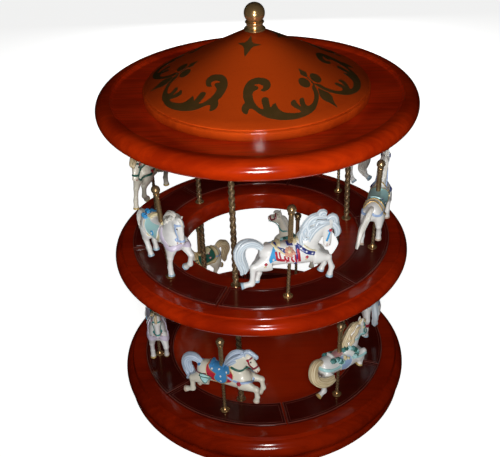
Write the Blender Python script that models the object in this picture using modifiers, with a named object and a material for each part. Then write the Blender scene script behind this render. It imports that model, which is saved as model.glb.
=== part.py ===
"""Two-tier tabletop display carousel: turned wooden discs, brass pillars and twelve figurine horses.

Metres, +Z up. The origin is the centre of the turntable foot's underside, and -Y is the front.
The foot stands still; the base disc and everything on it turn together about the Z axis.
"""

import math

import bmesh
import bpy
from mathutils import Matrix, Vector

# The carousel's overall sizes
GAP = 0.0003                     # air between two pieces that touch
RUNNING_GAP = 0.0010             # shadow gap between the foot and the turning base
DISC_STEPS = 60                  # sides of the big turned discs
RIM_STEPS = 3                    # facets down each half of a rounded rim
FINIAL_STEPS = 20
TURNED_STEPS = 10                # sides of poles and pillars
SHARP_ANGLE = math.radians(35)   # edges bent further than this stay crisp
SIXTH = math.tau / 6
THIRD = math.tau / 3

# Turntable foot
FOOT_RADIUS = 0.1680
FOOT_THICK = 0.0090
FOOT_ROUND = 0.0032
FOOT_TAPER = 0.0015              # how far the foot draws in at its lower edge
RACE_RADIUS = 0.0600             # bearing race that carries the base disc

# Base disc
BASE_RADIUS = 0.1720
BASE_BOTTOM = FOOT_THICK + RUNNING_GAP
BASE_THICK = 0.0270
BASE_STEP_RADIUS = 0.1645        # where the raised deck starts inside the rounded rim
BASE_STEP_SLOPE = 0.0022
BASE_TOP = 0.0400

# Middle deck, a ring
MID_RADIUS = 0.1674
MID_BOTTOM = 0.1799
MID_THICK = 0.0208
MID_STEP_RADIUS = 0.1600
MID_STEP_SLOPE = 0.0010
MID_TOP = 0.2020
MID_HOLE_RADIUS = 0.0905
MID_HOLE_EDGE = 0.0020           # chamfer round the hole's upper edge

# Dark panels, six on each deck
PANEL_OUTER = 0.1466
PANEL_INNER = 0.1125
PANEL_THICK = 0.0025
PANEL_EDGE = 0.0007
PANEL_SPLIT = 0.0016             # bare line between neighbouring panels
PANEL_ARC_POINTS = 8

# Roof board, cone and finial
ROOF_RADIUS = 0.1686
ROOF_BOTTOM = 0.3585
ROOF_THICK = 0.0230
ROOF_TOP = ROOF_BOTTOM + ROOF_THICK
ROOF_FIELD_RADIUS = 0.1470       # flat field inside the rim
ROOF_FIELD = 0.3775
ROOF_LIP_RADIUS = 0.1515         # slope between the field and the rim's crest
ROOF_LIP_DROP = 0.0015
ROOF_CREST_RADIUS = 0.1540
PEDESTAL_RADIUS = 0.1182
PEDESTAL_HEIGHT = 0.0090
PEDESTAL_FALL = 0.0008           # how far the pedestal's top falls outwards
CONE_RADIUS = 0.1160
CONE_EDGE = 0.0025               # upright edge at the cone's foot
CONE_TOP_RADIUS = 0.0100
CONE_TOP = 0.4440
BALL_RADIUS = 0.0106
BALL_RISE = 0.8                  # share of its radius that the ball's centre stands over the collar
COLLAR_NECK_RADIUS = 0.0096
COLLAR_WAIST_RADIUS = 0.0098
COLLAR_RADIUS = 0.0109
COLLAR_HEIGHT = 0.0085

# Brass pillars, three on each deck
PILLAR_CIRCLE = 0.1048
PILLAR_RADIUS = 0.0034
PILLAR_WASHER_RADIUS = 0.0056
PILLAR_WASHER = 0.0012
PILLAR_ANGLE = math.radians(-105.3)

# Horse poles, six on each deck
POLE_CIRCLE = 0.1300
POLE_LOWER_RADIUS = 0.0019
POLE_UPPER_RADIUS = 0.0025
POLE_CHANGE = 0.0520             # height where the pole thickens, inside a horse with no lift
POLE_BALL_RADIUS = 0.0047
FLANGE_RADIUS = 0.0052
FLANGE_HEIGHT = 0.0016
FLANGE_HUB_RADIUS = 0.0032
FLANGE_HUB_HEIGHT = 0.0032
UPPER_POLE_ANGLE = math.radians(-78.4)
LOWER_POLE_ANGLE = math.radians(-110.7)

# The horses on each deck from the front one on, to the right: gait, lift above the gait's own height,
# lean of the pole to the right for each metre of its height, and the pole's height above the panel.
LOWER_HORSES = (
    ("prancing", 0.0, -0.009, 0.1042), ("curvetting", 0.0, 0.022, 0.1042), ("walking", 0.0, 0.0, 0.1042),
    ("striding", 0.006, 0.032, 0.1110), ("reaching", 0.0, 0.025, 0.1110), ("walking", 0.0, 0.0, 0.1042))
UPPER_HORSES = (
    ("leaping", 0.0, 0.042, 0.1090), ("striding", 0.006, 0.044, 0.1090), ("prancing", 0.004, 0.0, 0.1090),
    ("curvetting", 0.004, 0.0, 0.1090), ("reaching", 0.015, 0.0, 0.1150), ("walking", 0.004, -0.064, 0.1115))

# A horse's own frame: x towards its nose, y towards the carousel's middle, z up from its pole's foot.
# The tables below are in millimetres.
MM = 0.001
HORSE_VOXEL = 0.0013
HORSE_FACES = 620                # triangles kept on one horse
BORE_CLEARANCE = 0.0004
BORE_TOP = 0.140
BORE_BOTTOM = -0.010

# How thick a limb is. Trunk: distance from the pole, rise and radius. Head: share of its length, rise and
# radius. Legs: place along the joints and radius.
TRUNK_FLESH = ((-31.0, 2.2, 2.4), (-29.5, 2.2, 7.6), (-26.5, 2.2, 10.4), (-20.0, 1.5, 12.2), (-12.0, 0.6, 11.4),
               (-3.0, 0.0, 11.1), (6.0, -0.5, 11.8), (15.0, -0.4, 13.0), (22.5, 0.4, 12.8), (28.0, 1.2, 9.6),
               (31.0, 1.8, 5.0), (32.0, 2.0, 2.0))
NECK_FLESH = (12.4, 10.6, 8.4, 6.2)
HEAD_FLESH = ((0.0, -0.6, 4.6), (0.22, -1.4, 7.4), (0.40, -1.0, 6.7), (0.58, 0.0, 5.2), (0.74, 0.3, 4.4),
              (0.97, 0.0, 3.7), (1.03, 0.0, 1.9))
FORE_FLESH = ((0.0, 8.0), (0.35, 6.4), (0.68, 4.6), (1.0, 3.8), (1.16, 2.9), (1.84, 2.9), (2.0, 3.3), (2.3, 2.9),
              (3.0, 3.7))
HIND_FLESH = ((0.0, 9.0), (0.36, 7.8), (0.72, 5.4), (1.0, 4.1), (1.18, 3.3), (1.84, 3.0), (2.0, 3.4), (2.3, 2.9),
              (3.0, 3.7))
TAIL_RADIUS = 6.0                # at the tail's fullest place
TAIL_START = 0.05                # the tail's fullness follows this stretch of a sine wave, in half turns
TAIL_END = 0.92
TRUNK_WIDTH = 0.84               # width of the trunk for its depth
NECK_WIDTH = 0.68
HEAD_WIDTH = 0.69
MANE_WIDTH = 0.90
POLL = (1.0, 0.5)                # from the neck's end to the start of the head

# Where each gait's joints are. Neck: (x, z) from shoulder to poll. Mane: (x, z, radius). Legs: near fore, far
# fore, near hind and far hind, each as top, knee or hock, fetlock and toe.
GAITS = {
    "leaping": dict(
        height=53.8, pitch=0.0, shift=-1.0,
        neck=((13, 59), (21, 69), (28, 79), (36, 86.5)), muzzle=(38, 56),
        mane=((11, 73, 4.5), (14, 82, 6.0), (20, 89, 6.0), (28, 93, 6.0), (36, 90, 4.5), (43, 89, 4.5),
              (48, 84, 4.5), (49, 76, 4.0), (47, 69, 3.0)),
        tail=((-28, 0, 63), (-34, 0, 68.5), (-41, 0, 71.5), (-47.5, 0, 70), (-51, 0, 64), (-51, 0, 56),
              (-48.5, 0, 48), (-46.5, 0, 41), (-47.5, 0, 36)),
        legs=(((23, -6, 49), (38, -8, 47), (42, -8, 35), (40, -8, 24)),
              ((23, 6, 49), (40, 8, 41), (39, 8, 30), (35.5, 8, 21)),
              ((-21, -6.5, 51), (-38.5, -8, 47), (-39.5, -8, 28.5), (-50.5, -8, 27)),
              ((-21, 6.5, 50), (-33, 8, 39), (-29, 8, 29), (-32, 8, 19)))),
    "prancing": dict(
        height=55.0, pitch=2.0, shift=2.5,
        neck=((14, 61), (18, 72), (23, 81), (29, 87.5)), muzzle=(42, 69.5),
        mane=((8, 73, 4.5), (12, 81, 6.0), (19, 87, 6.5), (27, 91, 6.0), (34, 90, 5.0), (40, 89, 3.0),
              (43.5, 90, 1.8)),
        tail=((-24, 0, 63), (-29, 0, 68.5), (-35, 0, 70), (-41, 0, 66), (-42, 0, 58), (-39.5, 0, 49),
              (-37, 0, 41), (-42, 0, 36.5)),
        legs=(((23, -6, 53), (42.5, -8, 50), (43.5, -8, 40), (42, -8, 33)),
              ((23, 6, 54), (43, 8, 51.5), (44.5, 8, 40), (40, 8, 32)),
              ((-16, -6.5, 51), (-33, -8, 46), (-33.5, -8, 30.5), (-43, -8, 27)),
              ((-17, 6.5, 51), (-25, 8, 41), (-27, 8, 30), (-33, 8, 25)))),
    "curvetting": dict(
        height=51.0, pitch=-3.0, shift=0.0,
        neck=((14, 58), (18, 69), (22, 79), (28.5, 86.5)), muzzle=(40, 66),
        mane=((8, 70, 5.0), (11, 80, 6.0), (17, 88, 6.0), (24, 92, 5.0), (30, 92, 4.5), (35, 89, 3.5)),
        tail=((-27, 0, 62), (-33, 0, 66), (-39, -1, 64), (-43, -4, 57), (-42, -8, 51), (-36, -12, 47),
              (-28, -14, 46), (-20, -14, 46)),
        legs=(((22, -6, 46), (32, -8, 52), (28.5, -8, 43), (25.5, -8, 35)),
              ((22, 6, 44), (41, 8, 38), (38, 8, 29), (35, 8, 23)),
              ((-20, -6.5, 49), (-30, -8, 41), (-29, -8, 28), (-38, -8, 25)),
              ((-19, 6.5, 48), (-20, 8, 36), (-17, 8, 27), (-15, 8, 18)))),
    "walking": dict(
        height=53.0, pitch=0.0, shift=0.0,
        neck=((14, 59), (20, 69), (25, 76), (30, 80.5)), muzzle=(32, 53),
        mane=((8, 70, 4.0), (13, 77, 5.0), (20, 83, 5.0), (27, 86, 5.0), (33, 84, 4.0), (36, 79, 3.0)),
        tail=((-27, 0, 62), (-33, 0, 63), (-38, 0, 57), (-40, 0, 48), (-38, 0, 39), (-36, 0, 30)),
        legs=(((21, -6, 50), (18, -8, 32), (15, -8, 19), (15, -8, 9)),
              ((22, 6, 50), (33, 8, 36), (29, 8, 23), (19, 8, 14)),
              ((-19, -6.5, 50), (-23, -8, 38), (-20, -8, 27), (-18, -8, 18)),
              ((-20, 6.5, 50), (-35, 8, 38), (-33, 8, 23), (-32, 8, 12)))),
    "striding": dict(
        height=54.0, pitch=6.0, shift=0.0,
        neck=((13, 60), (17, 73), (20, 85), (25, 94)), muzzle=(40, 88),
        mane=((7, 72, 3.5), (10, 81, 4.0), (13, 90, 4.0), (18, 97, 4.0), (25, 99, 4.0), (31, 97, 3.0)),
        tail=((-27, 0, 60), (-33, 1, 60), (-37, 3, 52), (-38, 6, 43), (-40, 8, 35), (-44, 9, 27), (-47, 10, 20)),
        legs=(((22, -6, 52), (32, -8, 38), (30, -8, 25), (32, -8, 16)),
              ((22, 6, 53), (41, 8, 52), (46, 8, 41), (45, 8, 32)),
              ((-19, -6.5, 50), (-24, -8, 37), (-20, -8, 27), (-19, -8, 18)),
              ((-20, 6.5, 50), (-33, 7, 41), (-36, 7, 30), (-41, 7, 22)))),
    "reaching": dict(
        height=54.0, pitch=1.0, shift=0.0,
        neck=((14, 59), (22, 67), (29, 73), (35, 77)), muzzle=(44, 55),
        mane=((9, 70, 4.0), (16, 76, 5.0), (24, 81, 5.5), (31, 84, 5.0), (38, 82, 4.0), (42, 77, 3.0)),
        tail=((-27, 0, 62), (-34, 0, 66), (-41, 0, 62), (-43, 0, 53), (-41, 0, 44), (-43, 0, 36)),
        legs=(((22, -6, 50), (29, -8, 35), (33, -8, 22), (34, -8, 12)),
              ((22, 6, 52), (40, 8, 47), (42, 8, 36), (36, 8, 29)),
              ((-19, -6.5, 50), (-33, -8, 41), (-33, -8, 28), (-42, -8, 24)),
              ((-20, 6.5, 50), (-21, 8, 37), (-17, 8, 28), (-18, 8, 18)))),
}


def clear_scene():
    for scene_object in list(bpy.data.objects):
        bpy.data.objects.remove(scene_object, do_unlink=True)


def new_collection(name):
    collection = bpy.data.collections.new(name)
    bpy.context.scene.collection.children.link(collection)
    return collection


def plain_material(name, colour, roughness, metallic=0.0):
    material = bpy.data.materials.new(name)
    material.use_nodes = True
    shader = material.node_tree.nodes["Principled BSDF"]
    shader.inputs["Base Color"].default_value = (*colour, 1.0)
    shader.inputs["Roughness"].default_value = roughness
    shader.inputs["Metallic"].default_value = metallic
    material.diffuse_color = (*colour, 1.0)
    return material


def place(name, mesh, material, parent, location=(0.0, 0.0, 0.0), turn=0.0):
    """Make a named piece from a mesh, put it under its parent and give it a material."""
    piece = bpy.data.objects.new(name, mesh)
    PARTS.objects.link(piece)
    piece.location = location
    piece.rotation_euler = (0.0, 0.0, turn)
    piece.parent = parent
    if not mesh.materials:
        mesh.materials.append(material)
    return piece


def helper(name, data):
    """Put a mesh or a curve in the scene for a moment, so that its modifiers can be worked out."""
    blank = bpy.data.objects.new(name, data)
    bpy.context.scene.collection.objects.link(blank)
    return blank


def taken_mesh(source, name):
    """The evaluated mesh of an object, which is then removed."""
    graph = bpy.context.evaluated_depsgraph_get()
    graph.update()
    mesh = bpy.data.meshes.new_from_object(source.evaluated_get(graph))
    mesh.name = name
    bpy.data.objects.remove(source, do_unlink=True)
    return mesh


def arc(centre, radius, start_deg, end_deg, steps):
    """Points on an arc in the (radius, height) plane, ends included."""
    points = []
    for i in range(steps + 1):
        angle = math.radians(start_deg + (end_deg - start_deg) * i / steps)
        points.append((centre[0] + radius * math.cos(angle), centre[1] + radius * math.sin(angle)))
    return points


def turned(name, profile, steps, ring=False):
    """Turn a profile of (radius, height) points about Z; a ring's profile closes on itself."""
    mesh = bpy.data.meshes.new(name)
    form = bmesh.new()
    points = [form.verts.new((radius, 0.0, height)) for radius, height in profile]
    for first, second in zip(points, points[1:]):
        form.edges.new((first, second))
    if ring:
        form.edges.new((points[-1], points[0]))
    form.to_mesh(mesh)
    form.free()
    blank = helper(name + "_profile", mesh)
    screw = blank.modifiers.new("turn", "SCREW")
    screw.steps = steps
    screw.render_steps = steps
    screw.use_merge_vertices = True
    screw.merge_threshold = 0.00001
    screw.use_normal_calculate = False
    result = taken_mesh(blank, name)
    result.shade_smooth()
    result.set_sharp_from_angle(angle=SHARP_ANGLE)
    return result


def rim(radius, bottom, thick, inner):
    """Rounded rim, from where its upper side meets an inner radius down round to its bottom."""
    half = thick / 2
    centre = (radius - half, bottom + half)
    across = min(max((inner - centre[0]) / half, 0.0), 1.0)
    upper = arc(centre, half, math.degrees(math.acos(across)), 0, RIM_STEPS)
    return upper + arc(centre, half, 0, -90, RIM_STEPS)[1:]


def foot_mesh():
    profile = [(0.0, BASE_BOTTOM - GAP), (RACE_RADIUS, BASE_BOTTOM - GAP), (RACE_RADIUS, FOOT_THICK)]
    profile += arc((FOOT_RADIUS - FOOT_ROUND, FOOT_THICK - FOOT_ROUND), FOOT_ROUND, 90, 0, 2)
    profile += [(FOOT_RADIUS - FOOT_TAPER, 0.0), (0.0, 0.0)]
    return turned("turntable_foot", profile, DISC_STEPS)


def base_mesh():
    profile = [(0.0, BASE_TOP), (BASE_STEP_RADIUS - BASE_STEP_SLOPE, BASE_TOP)]
    profile += rim(BASE_RADIUS, BASE_BOTTOM, BASE_THICK, BASE_STEP_RADIUS)
    profile += [(0.0, BASE_BOTTOM)]
    return turned("base_disc", profile, DISC_STEPS)


def mid_mesh():
    profile = [(MID_STEP_RADIUS - MID_STEP_SLOPE, MID_TOP)]
    profile += rim(MID_RADIUS, MID_BOTTOM, MID_THICK, MID_STEP_RADIUS)
    profile += [(MID_HOLE_RADIUS, MID_BOTTOM), (MID_HOLE_RADIUS, MID_TOP - MID_HOLE_EDGE)]
    profile += [(MID_HOLE_RADIUS + MID_HOLE_EDGE, MID_TOP)]
    return turned("mid_deck", profile, DISC_STEPS, ring=True)


def roof_mesh():
    profile = [(0.0, ROOF_FIELD), (ROOF_FIELD_RADIUS, ROOF_FIELD), (ROOF_LIP_RADIUS, ROOF_TOP - ROOF_LIP_DROP)]
    profile += [(ROOF_CREST_RADIUS, ROOF_TOP)]
    profile += rim(ROOF_RADIUS, ROOF_BOTTOM, ROOF_THICK, ROOF_CREST_RADIUS)
    profile += [(0.0, ROOF_BOTTOM)]
    return turned("roof_board", profile, DISC_STEPS)


def cone_mesh():
    bottom = ROOF_FIELD + GAP
    shoulder = ROOF_FIELD + PEDESTAL_HEIGHT
    profile = [(0.0, CONE_TOP), (CONE_TOP_RADIUS, CONE_TOP), (CONE_RADIUS, shoulder + CONE_EDGE)]
    profile += [(CONE_RADIUS, shoulder), (PEDESTAL_RADIUS, shoulder - PEDESTAL_FALL)]
    profile += [(PEDESTAL_RADIUS, bottom), (0.0, bottom)]
    return turned("roof_cone", profile, DISC_STEPS)


def finial_mesh():
    """A ball that sits in a stepped collar."""
    seat = CONE_TOP + GAP
    collar_top = seat + COLLAR_HEIGHT
    waist = seat + COLLAR_HEIGHT / 2
    centre = collar_top + BALL_RADIUS * BALL_RISE
    profile = arc((0.0, centre), BALL_RADIUS, 90, -45, 7)
    profile[0] = (0.0, centre + BALL_RADIUS)
    profile += [(COLLAR_NECK_RADIUS, collar_top), (COLLAR_WAIST_RADIUS, waist), (COLLAR_RADIUS, waist)]
    profile += [(COLLAR_RADIUS, seat), (0.0, seat)]
    return turned("finial", profile, FINIAL_STEPS)


def pillar_mesh(bottom, top):
    """One brass pillar with a washer foot at each end, standing on the Z axis."""
    low = bottom + GAP
    high = top - GAP
    profile = [(0.0, high), (PILLAR_WASHER_RADIUS, high), (PILLAR_WASHER_RADIUS, high - PILLAR_WASHER)]
    profile += [(PILLAR_RADIUS, high - PILLAR_WASHER), (PILLAR_RADIUS, low + PILLAR_WASHER)]
    profile += [(PILLAR_WASHER_RADIUS, low + PILLAR_WASHER), (PILLAR_WASHER_RADIUS, low), (0.0, low)]
    return turned("pillar", profile, TURNED_STEPS)


def pole_mesh(height, change):
    """A horse pole with its flange on the panel and a ball on top; it thickens at the change."""
    centre = height - POLE_BALL_RADIUS
    profile = arc((0.0, centre), POLE_BALL_RADIUS, 90, -60, 5)
    profile[0] = (0.0, height)
    profile += [(POLE_UPPER_RADIUS, change), (POLE_LOWER_RADIUS, change)]
    profile += [(POLE_LOWER_RADIUS, FLANGE_HUB_HEIGHT + FLANGE_HUB_RADIUS - POLE_LOWER_RADIUS)]
    profile += [(FLANGE_HUB_RADIUS, FLANGE_HUB_HEIGHT), (FLANGE_RADIUS, FLANGE_HEIGHT)]
    profile += [(FLANGE_RADIUS, GAP), (0.0, GAP)]
    return turned("pole", profile, TURNED_STEPS)


def panel_mesh():
    """A dark panel: a sixth of a ring with chamfered edges, its middle on +X, lying on Z = 0."""
    outline = []
    for radius, way in ((PANEL_OUTER, 1), (PANEL_INNER, -1)):
        half_sweep = SIXTH / 2 - math.asin(PANEL_SPLIT / 2 / radius)
        for i in range(PANEL_ARC_POINTS + 1):
            angle = way * half_sweep * (2 * i / PANEL_ARC_POINTS - 1)
            outline.append((radius * math.cos(angle), radius * math.sin(angle)))
    curve = bpy.data.curves.new("panel_outline", "CURVE")
    curve.dimensions = "2D"
    curve.fill_mode = "BOTH"
    half = PANEL_THICK / 2
    curve.bevel_depth = PANEL_EDGE
    curve.bevel_resolution = 0
    curve.offset = -PANEL_EDGE
    curve.extrude = half - PANEL_EDGE
    spline = curve.splines.new("POLY")
    spline.points.add(len(outline) - 1)
    for point, (x, y) in zip(spline.points, outline):
        point.co = (x, y, 0.0, 1.0)
    spline.use_cyclic_u = True
    mesh = taken_mesh(helper("panel_outline", curve), "panel")
    form = bmesh.new()
    form.from_mesh(mesh)
    bmesh.ops.remove_doubles(form, verts=form.verts, dist=0.00002)
    bmesh.ops.recalc_face_normals(form, faces=form.faces)
    bmesh.ops.translate(form, verts=form.verts, vec=(0.0, 0.0, half + GAP))
    form.to_mesh(mesh)
    form.free()
    return mesh


def limb_mesh(stations, width=1.0):
    """A tapering limb as a tube; a station is (x, y, z, radius) in millimetres."""
    curve = bpy.data.curves.new("limb", "CURVE")
    curve.dimensions = "3D"
    curve.bevel_depth = MM
    curve.bevel_resolution = 3
    curve.use_fill_caps = True
    spline = curve.splines.new("POLY")
    spline.points.add(len(stations) - 1)
    for point, (x, y, z, radius) in zip(spline.points, stations):
        point.co = (x * MM, y * MM, z * MM, 1.0)
        point.radius = radius
    mesh = taken_mesh(helper("limb", curve), "limb")
    mesh.transform(Matrix.Diagonal((1.0, width, 1.0, 1.0)))
    return mesh


def along_axis(start, ahead, flesh):
    """Stations on a straight axis; a row of flesh is distance, rise over the axis and radius."""
    upper = Vector((-ahead.z, 0.0, ahead.x))
    return [(*(start + ahead * distance + upper * rise), radius) for distance, rise, radius in flesh]


def along_joints(joints, flesh):
    """Stations through joints; place 1.5 is halfway between the second joint and the third."""
    stations = []
    for where, radius in flesh:
        first = min(int(where), len(joints) - 2)
        spot = Vector(joints[first]).lerp(Vector(joints[first + 1]), where - first)
        stations.append((*spot, radius))
    return stations


def trunk_stations(gait):
    pitch = math.radians(gait["pitch"])
    flesh = [(distance + gait["shift"], rise, radius) for distance, rise, radius in TRUNK_FLESH]
    return along_axis(Vector((0.0, 0.0, gait["height"])), Vector((math.cos(pitch), 0.0, math.sin(pitch))), flesh)


def head_stations(gait):
    poll = Vector((gait["neck"][-1][0] + POLL[0], 0.0, gait["neck"][-1][1] + POLL[1]))
    face = Vector((gait["muzzle"][0], 0.0, gait["muzzle"][1])) - poll
    flesh = [(share * face.length, rise, radius) for share, rise, radius in HEAD_FLESH]
    return along_axis(poll, face.normalized(), flesh)


def tail_stations(gait):
    """The tail through all of its joints, fullest at its middle."""
    last = len(gait["tail"]) - 1
    stations = []
    for number, joint in enumerate(gait["tail"]):
        fullness = math.sin(math.pi * (TAIL_START + (TAIL_END - TAIL_START) * number / last))
        stations.append((*joint, TAIL_RADIUS * (1 + fullness) / 2))
    return stations


def leg_stations(gait):
    flesh_of_legs = (FORE_FLESH, FORE_FLESH, HIND_FLESH, HIND_FLESH)
    return [along_joints(leg, flesh) for leg, flesh in zip(gait["legs"], flesh_of_legs)]


def horse_mesh(name):
    """One horse of a gait as a single closed body, with no bore yet."""
    gait = GAITS[name]
    neck = [(x, 0.0, z, radius) for (x, z), radius in zip(gait["neck"], NECK_FLESH)]
    mane = [(x, 0.0, z, radius) for x, z, radius in gait["mane"]]
    limbs = [limb_mesh(trunk_stations(gait), TRUNK_WIDTH), limb_mesh(neck, NECK_WIDTH)]
    limbs += [limb_mesh(head_stations(gait), HEAD_WIDTH), limb_mesh(mane, MANE_WIDTH)]
    limbs += [limb_mesh(stations) for stations in [tail_stations(gait)] + leg_stations(gait)]
    form = bmesh.new()
    for limb in limbs:
        form.from_mesh(limb)
    bmesh.ops.remove_doubles(form, verts=form.verts, dist=0.00001)
    mesh = bpy.data.meshes.new("rough_horse")
    form.to_mesh(mesh)
    form.free()
    rough = helper("rough_horse", mesh)
    fused = rough.modifiers.new("fuse", "REMESH")
    fused.mode = "VOXEL"
    fused.voxel_size = HORSE_VOXEL
    dense = taken_mesh(rough, "dense_horse")
    triangles = sum(len(face.vertices) - 2 for face in dense.polygons)
    body = helper("horse_body", dense)
    thin = body.modifiers.new("thin", "DECIMATE")
    thin.ratio = HORSE_FACES / triangles
    thin.use_collapse_triangulate = True
    return taken_mesh(body, "horse_" + name)


def bored(mesh, lift):
    """A copy of a horse at its lift, with a stepped bore for its pole."""
    change = POLE_CHANGE + lift - BORE_CLEARANCE
    wide, narrow = POLE_UPPER_RADIUS + BORE_CLEARANCE, POLE_LOWER_RADIUS + BORE_CLEARANCE
    profile = [(0.0, BORE_TOP), (wide, BORE_TOP), (wide, change), (narrow, change), (narrow, BORE_BOTTOM)]
    profile += [(0.0, BORE_BOTTOM)]
    cutter = bpy.data.objects.new("bore_cutter", turned("bore_cutter", profile, TURNED_STEPS))
    CUTTERS.objects.link(cutter)
    cutter.hide_render = True
    cutter.display_type = "WIRE"
    raised = mesh.copy()
    raised.transform(Matrix.Translation((0.0, 0.0, lift)))
    body = helper("horse_body", raised)
    bore = body.modifiers.new("bore", "BOOLEAN")
    bore.operation = "DIFFERENCE"
    bore.solver = "EXACT"
    bore.object = cutter
    result = taken_mesh(body, mesh.name)
    result.shade_smooth()
    return result


def leaned(mesh, lean, heading=0.0):
    """Lean a mesh to the right of the whole carousel, by a shear that keeps its foot level."""
    aside = Matrix.Rotation(-heading, 3, "Z") @ Vector((lean, 0.0, 0.0))
    shear = Matrix.Identity(4)
    shear[0][2] = aside.x
    shear[1][2] = aside.y
    mesh.transform(shear)
    return mesh


def around(circle, start, share, count):
    """Positions and headings of pieces spaced evenly on a circle."""
    for i in range(count):
        angle = start + share * i
        yield i + 1, circle * math.cos(angle), circle * math.sin(angle), angle


def build_tier(tier, deck_top, ceiling, first_pole, horses):
    """Panels, pillars, poles and horses of one deck."""
    for i in range(6):
        place(f"{tier}_panel_{i + 1}", PANEL, DARK_WOOD, CAROUSEL, (0.0, 0.0, deck_top), first_pole + SIXTH * i)
    pillar = pillar_mesh(deck_top, ceiling)
    for number, x, y, angle in around(PILLAR_CIRCLE, PILLAR_ANGLE, THIRD, 3):
        place(f"{tier}_pillar_{number}", pillar, BRASS, CAROUSEL, (x, y, 0.0), angle)
    foot = deck_top + PANEL_THICK + GAP
    for number, x, y, angle in around(POLE_CIRCLE, first_pole, SIXTH, 6):
        gait, lift, lean, height = horses[number - 1]
        pole = leaned(pole_mesh(height, POLE_CHANGE + lift), lean)
        place(f"{tier}_pole_{number}", pole, BRASS, CAROUSEL, (x, y, foot))
        heading = angle + math.pi / 2
        horse = leaned(bored(HORSES[gait], lift), lean, heading)
        place(f"{tier}_horse_{number}", horse, PORCELAIN, CAROUSEL, (x, y, foot), heading)


clear_scene()
PARTS = new_collection("display_carousel")
CUTTERS = new_collection("cutters")

CHERRY = plain_material("cherry_wood", (0.36, 0.060, 0.018), 0.25)
DARK_WOOD = plain_material("dark_wood", (0.055, 0.012, 0.010), 0.28)
CONE_WOOD = plain_material("cone_wood", (0.42, 0.095, 0.022), 0.45)
BRASS = plain_material("brass", (0.46, 0.32, 0.16), 0.32, 1.0)
PORCELAIN = plain_material("porcelain", (0.86, 0.84, 0.78), 0.35)

CAROUSEL = bpy.data.objects.new("turning_carousel", None)
PARTS.objects.link(CAROUSEL)

PANEL = panel_mesh()
HORSES = {name: horse_mesh(name) for name in GAITS}

place("turntable_foot", foot_mesh(), CHERRY, None)
place("base_disc", base_mesh(), CHERRY, CAROUSEL)
place("mid_deck", mid_mesh(), CHERRY, CAROUSEL)
place("roof_board", roof_mesh(), CHERRY, CAROUSEL)
place("roof_cone", cone_mesh(), CONE_WOOD, CAROUSEL)
place("finial", finial_mesh(), BRASS, CAROUSEL)

build_tier("base", BASE_TOP, MID_BOTTOM, LOWER_POLE_ANGLE, LOWER_HORSES)
build_tier("mid", MID_TOP, ROOF_BOTTOM, UPPER_POLE_ANGLE, UPPER_HORSES)
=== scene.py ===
"""Looks of a two-tier tabletop display carousel: lacquered wood, antiqued brass and painted porcelain horses.

Lengths are in metres in the carousel's own frame. A horse is modelled in millimetres in a frame of its own:
x towards its nose, y towards the carousel's middle, z above the panel that it stands over. Its near side,
which faces outwards, has negative y and negative girth angles.
"""

import logging
import math
from collections.abc import Callable, Iterable, Sequence
from dataclasses import dataclass, field
from enum import Enum

import bmesh
import bpy
import numpy as np
from mathutils import Matrix, Vector
from mathutils.bvhtree import BVHTree

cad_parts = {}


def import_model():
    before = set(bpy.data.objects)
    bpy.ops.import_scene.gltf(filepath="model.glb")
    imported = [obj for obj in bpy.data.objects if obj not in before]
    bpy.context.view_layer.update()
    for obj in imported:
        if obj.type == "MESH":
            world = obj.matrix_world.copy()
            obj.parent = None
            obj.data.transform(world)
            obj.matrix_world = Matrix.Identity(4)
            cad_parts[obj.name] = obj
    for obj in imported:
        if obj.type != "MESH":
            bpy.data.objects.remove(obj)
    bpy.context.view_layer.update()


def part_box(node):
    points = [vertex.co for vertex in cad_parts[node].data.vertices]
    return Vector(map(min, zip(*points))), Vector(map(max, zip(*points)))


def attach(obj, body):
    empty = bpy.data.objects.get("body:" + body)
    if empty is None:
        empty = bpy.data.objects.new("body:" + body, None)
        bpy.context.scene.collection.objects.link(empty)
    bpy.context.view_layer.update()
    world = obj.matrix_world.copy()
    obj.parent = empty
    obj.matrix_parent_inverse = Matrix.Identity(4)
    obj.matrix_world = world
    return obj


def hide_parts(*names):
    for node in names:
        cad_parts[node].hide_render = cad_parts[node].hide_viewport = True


Colour = tuple[float, float, float]
Point = tuple[float, float, float]
Spot = tuple[float, float]
Face = tuple[int, ...]

MM = 0.001
TINY = 1e-6
SIXTH = math.tau / 6
UPRIGHT = Matrix.Identity(4)
SIDES = (-1, 1)
ALL_ROUND = range(-160, 200, 40)
UNDER_CHEST = (33.0, 180.0)
OVER_DOCK = (-33.2, 0.0)
log = logging.getLogger("carousel")


class Sock:
    """A shader socket that takes part in sums: an expression on sockets adds its own Math nodes."""

    def __init__(self, graph: "Graph", socket: bpy.types.NodeSocket) -> None:
        """Wrap an output socket of a graph, which new nodes go to."""
        self.graph = graph
        self.socket = socket

    def maths(self, operation: str, *values: "Sock | float") -> "Sock":
        """Run one Math node on values in the order of its inputs."""
        return self.graph.node("ShaderNodeMath", {"operation": operation}, dict(enumerate(values)))

    def __add__(self, other: "Sock | float") -> "Sock":
        """Sum."""
        return self.maths("ADD", self, other)

    def __sub__(self, other: "Sock | float") -> "Sock":
        """Difference."""
        return self.maths("SUBTRACT", self, other)

    def __rsub__(self, other: float) -> "Sock":
        """A number less this socket."""
        return self.maths("SUBTRACT", other, self)

    def __mul__(self, other: "Sock | float") -> "Sock":
        """Product."""
        return self.maths("MULTIPLY", self, other)

    __radd__ = __add__
    __rmul__ = __mul__

    def between(self, low: float, high: float) -> "Sock":
        """Rise smoothly from 0 at the low value to 1 at the high one."""
        inputs = {"Value": self, "From Min": low, "From Max": high}
        return self.graph.node("ShaderNodeMapRange", {"interpolation_type": "SMOOTHSTEP"}, inputs)


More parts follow.
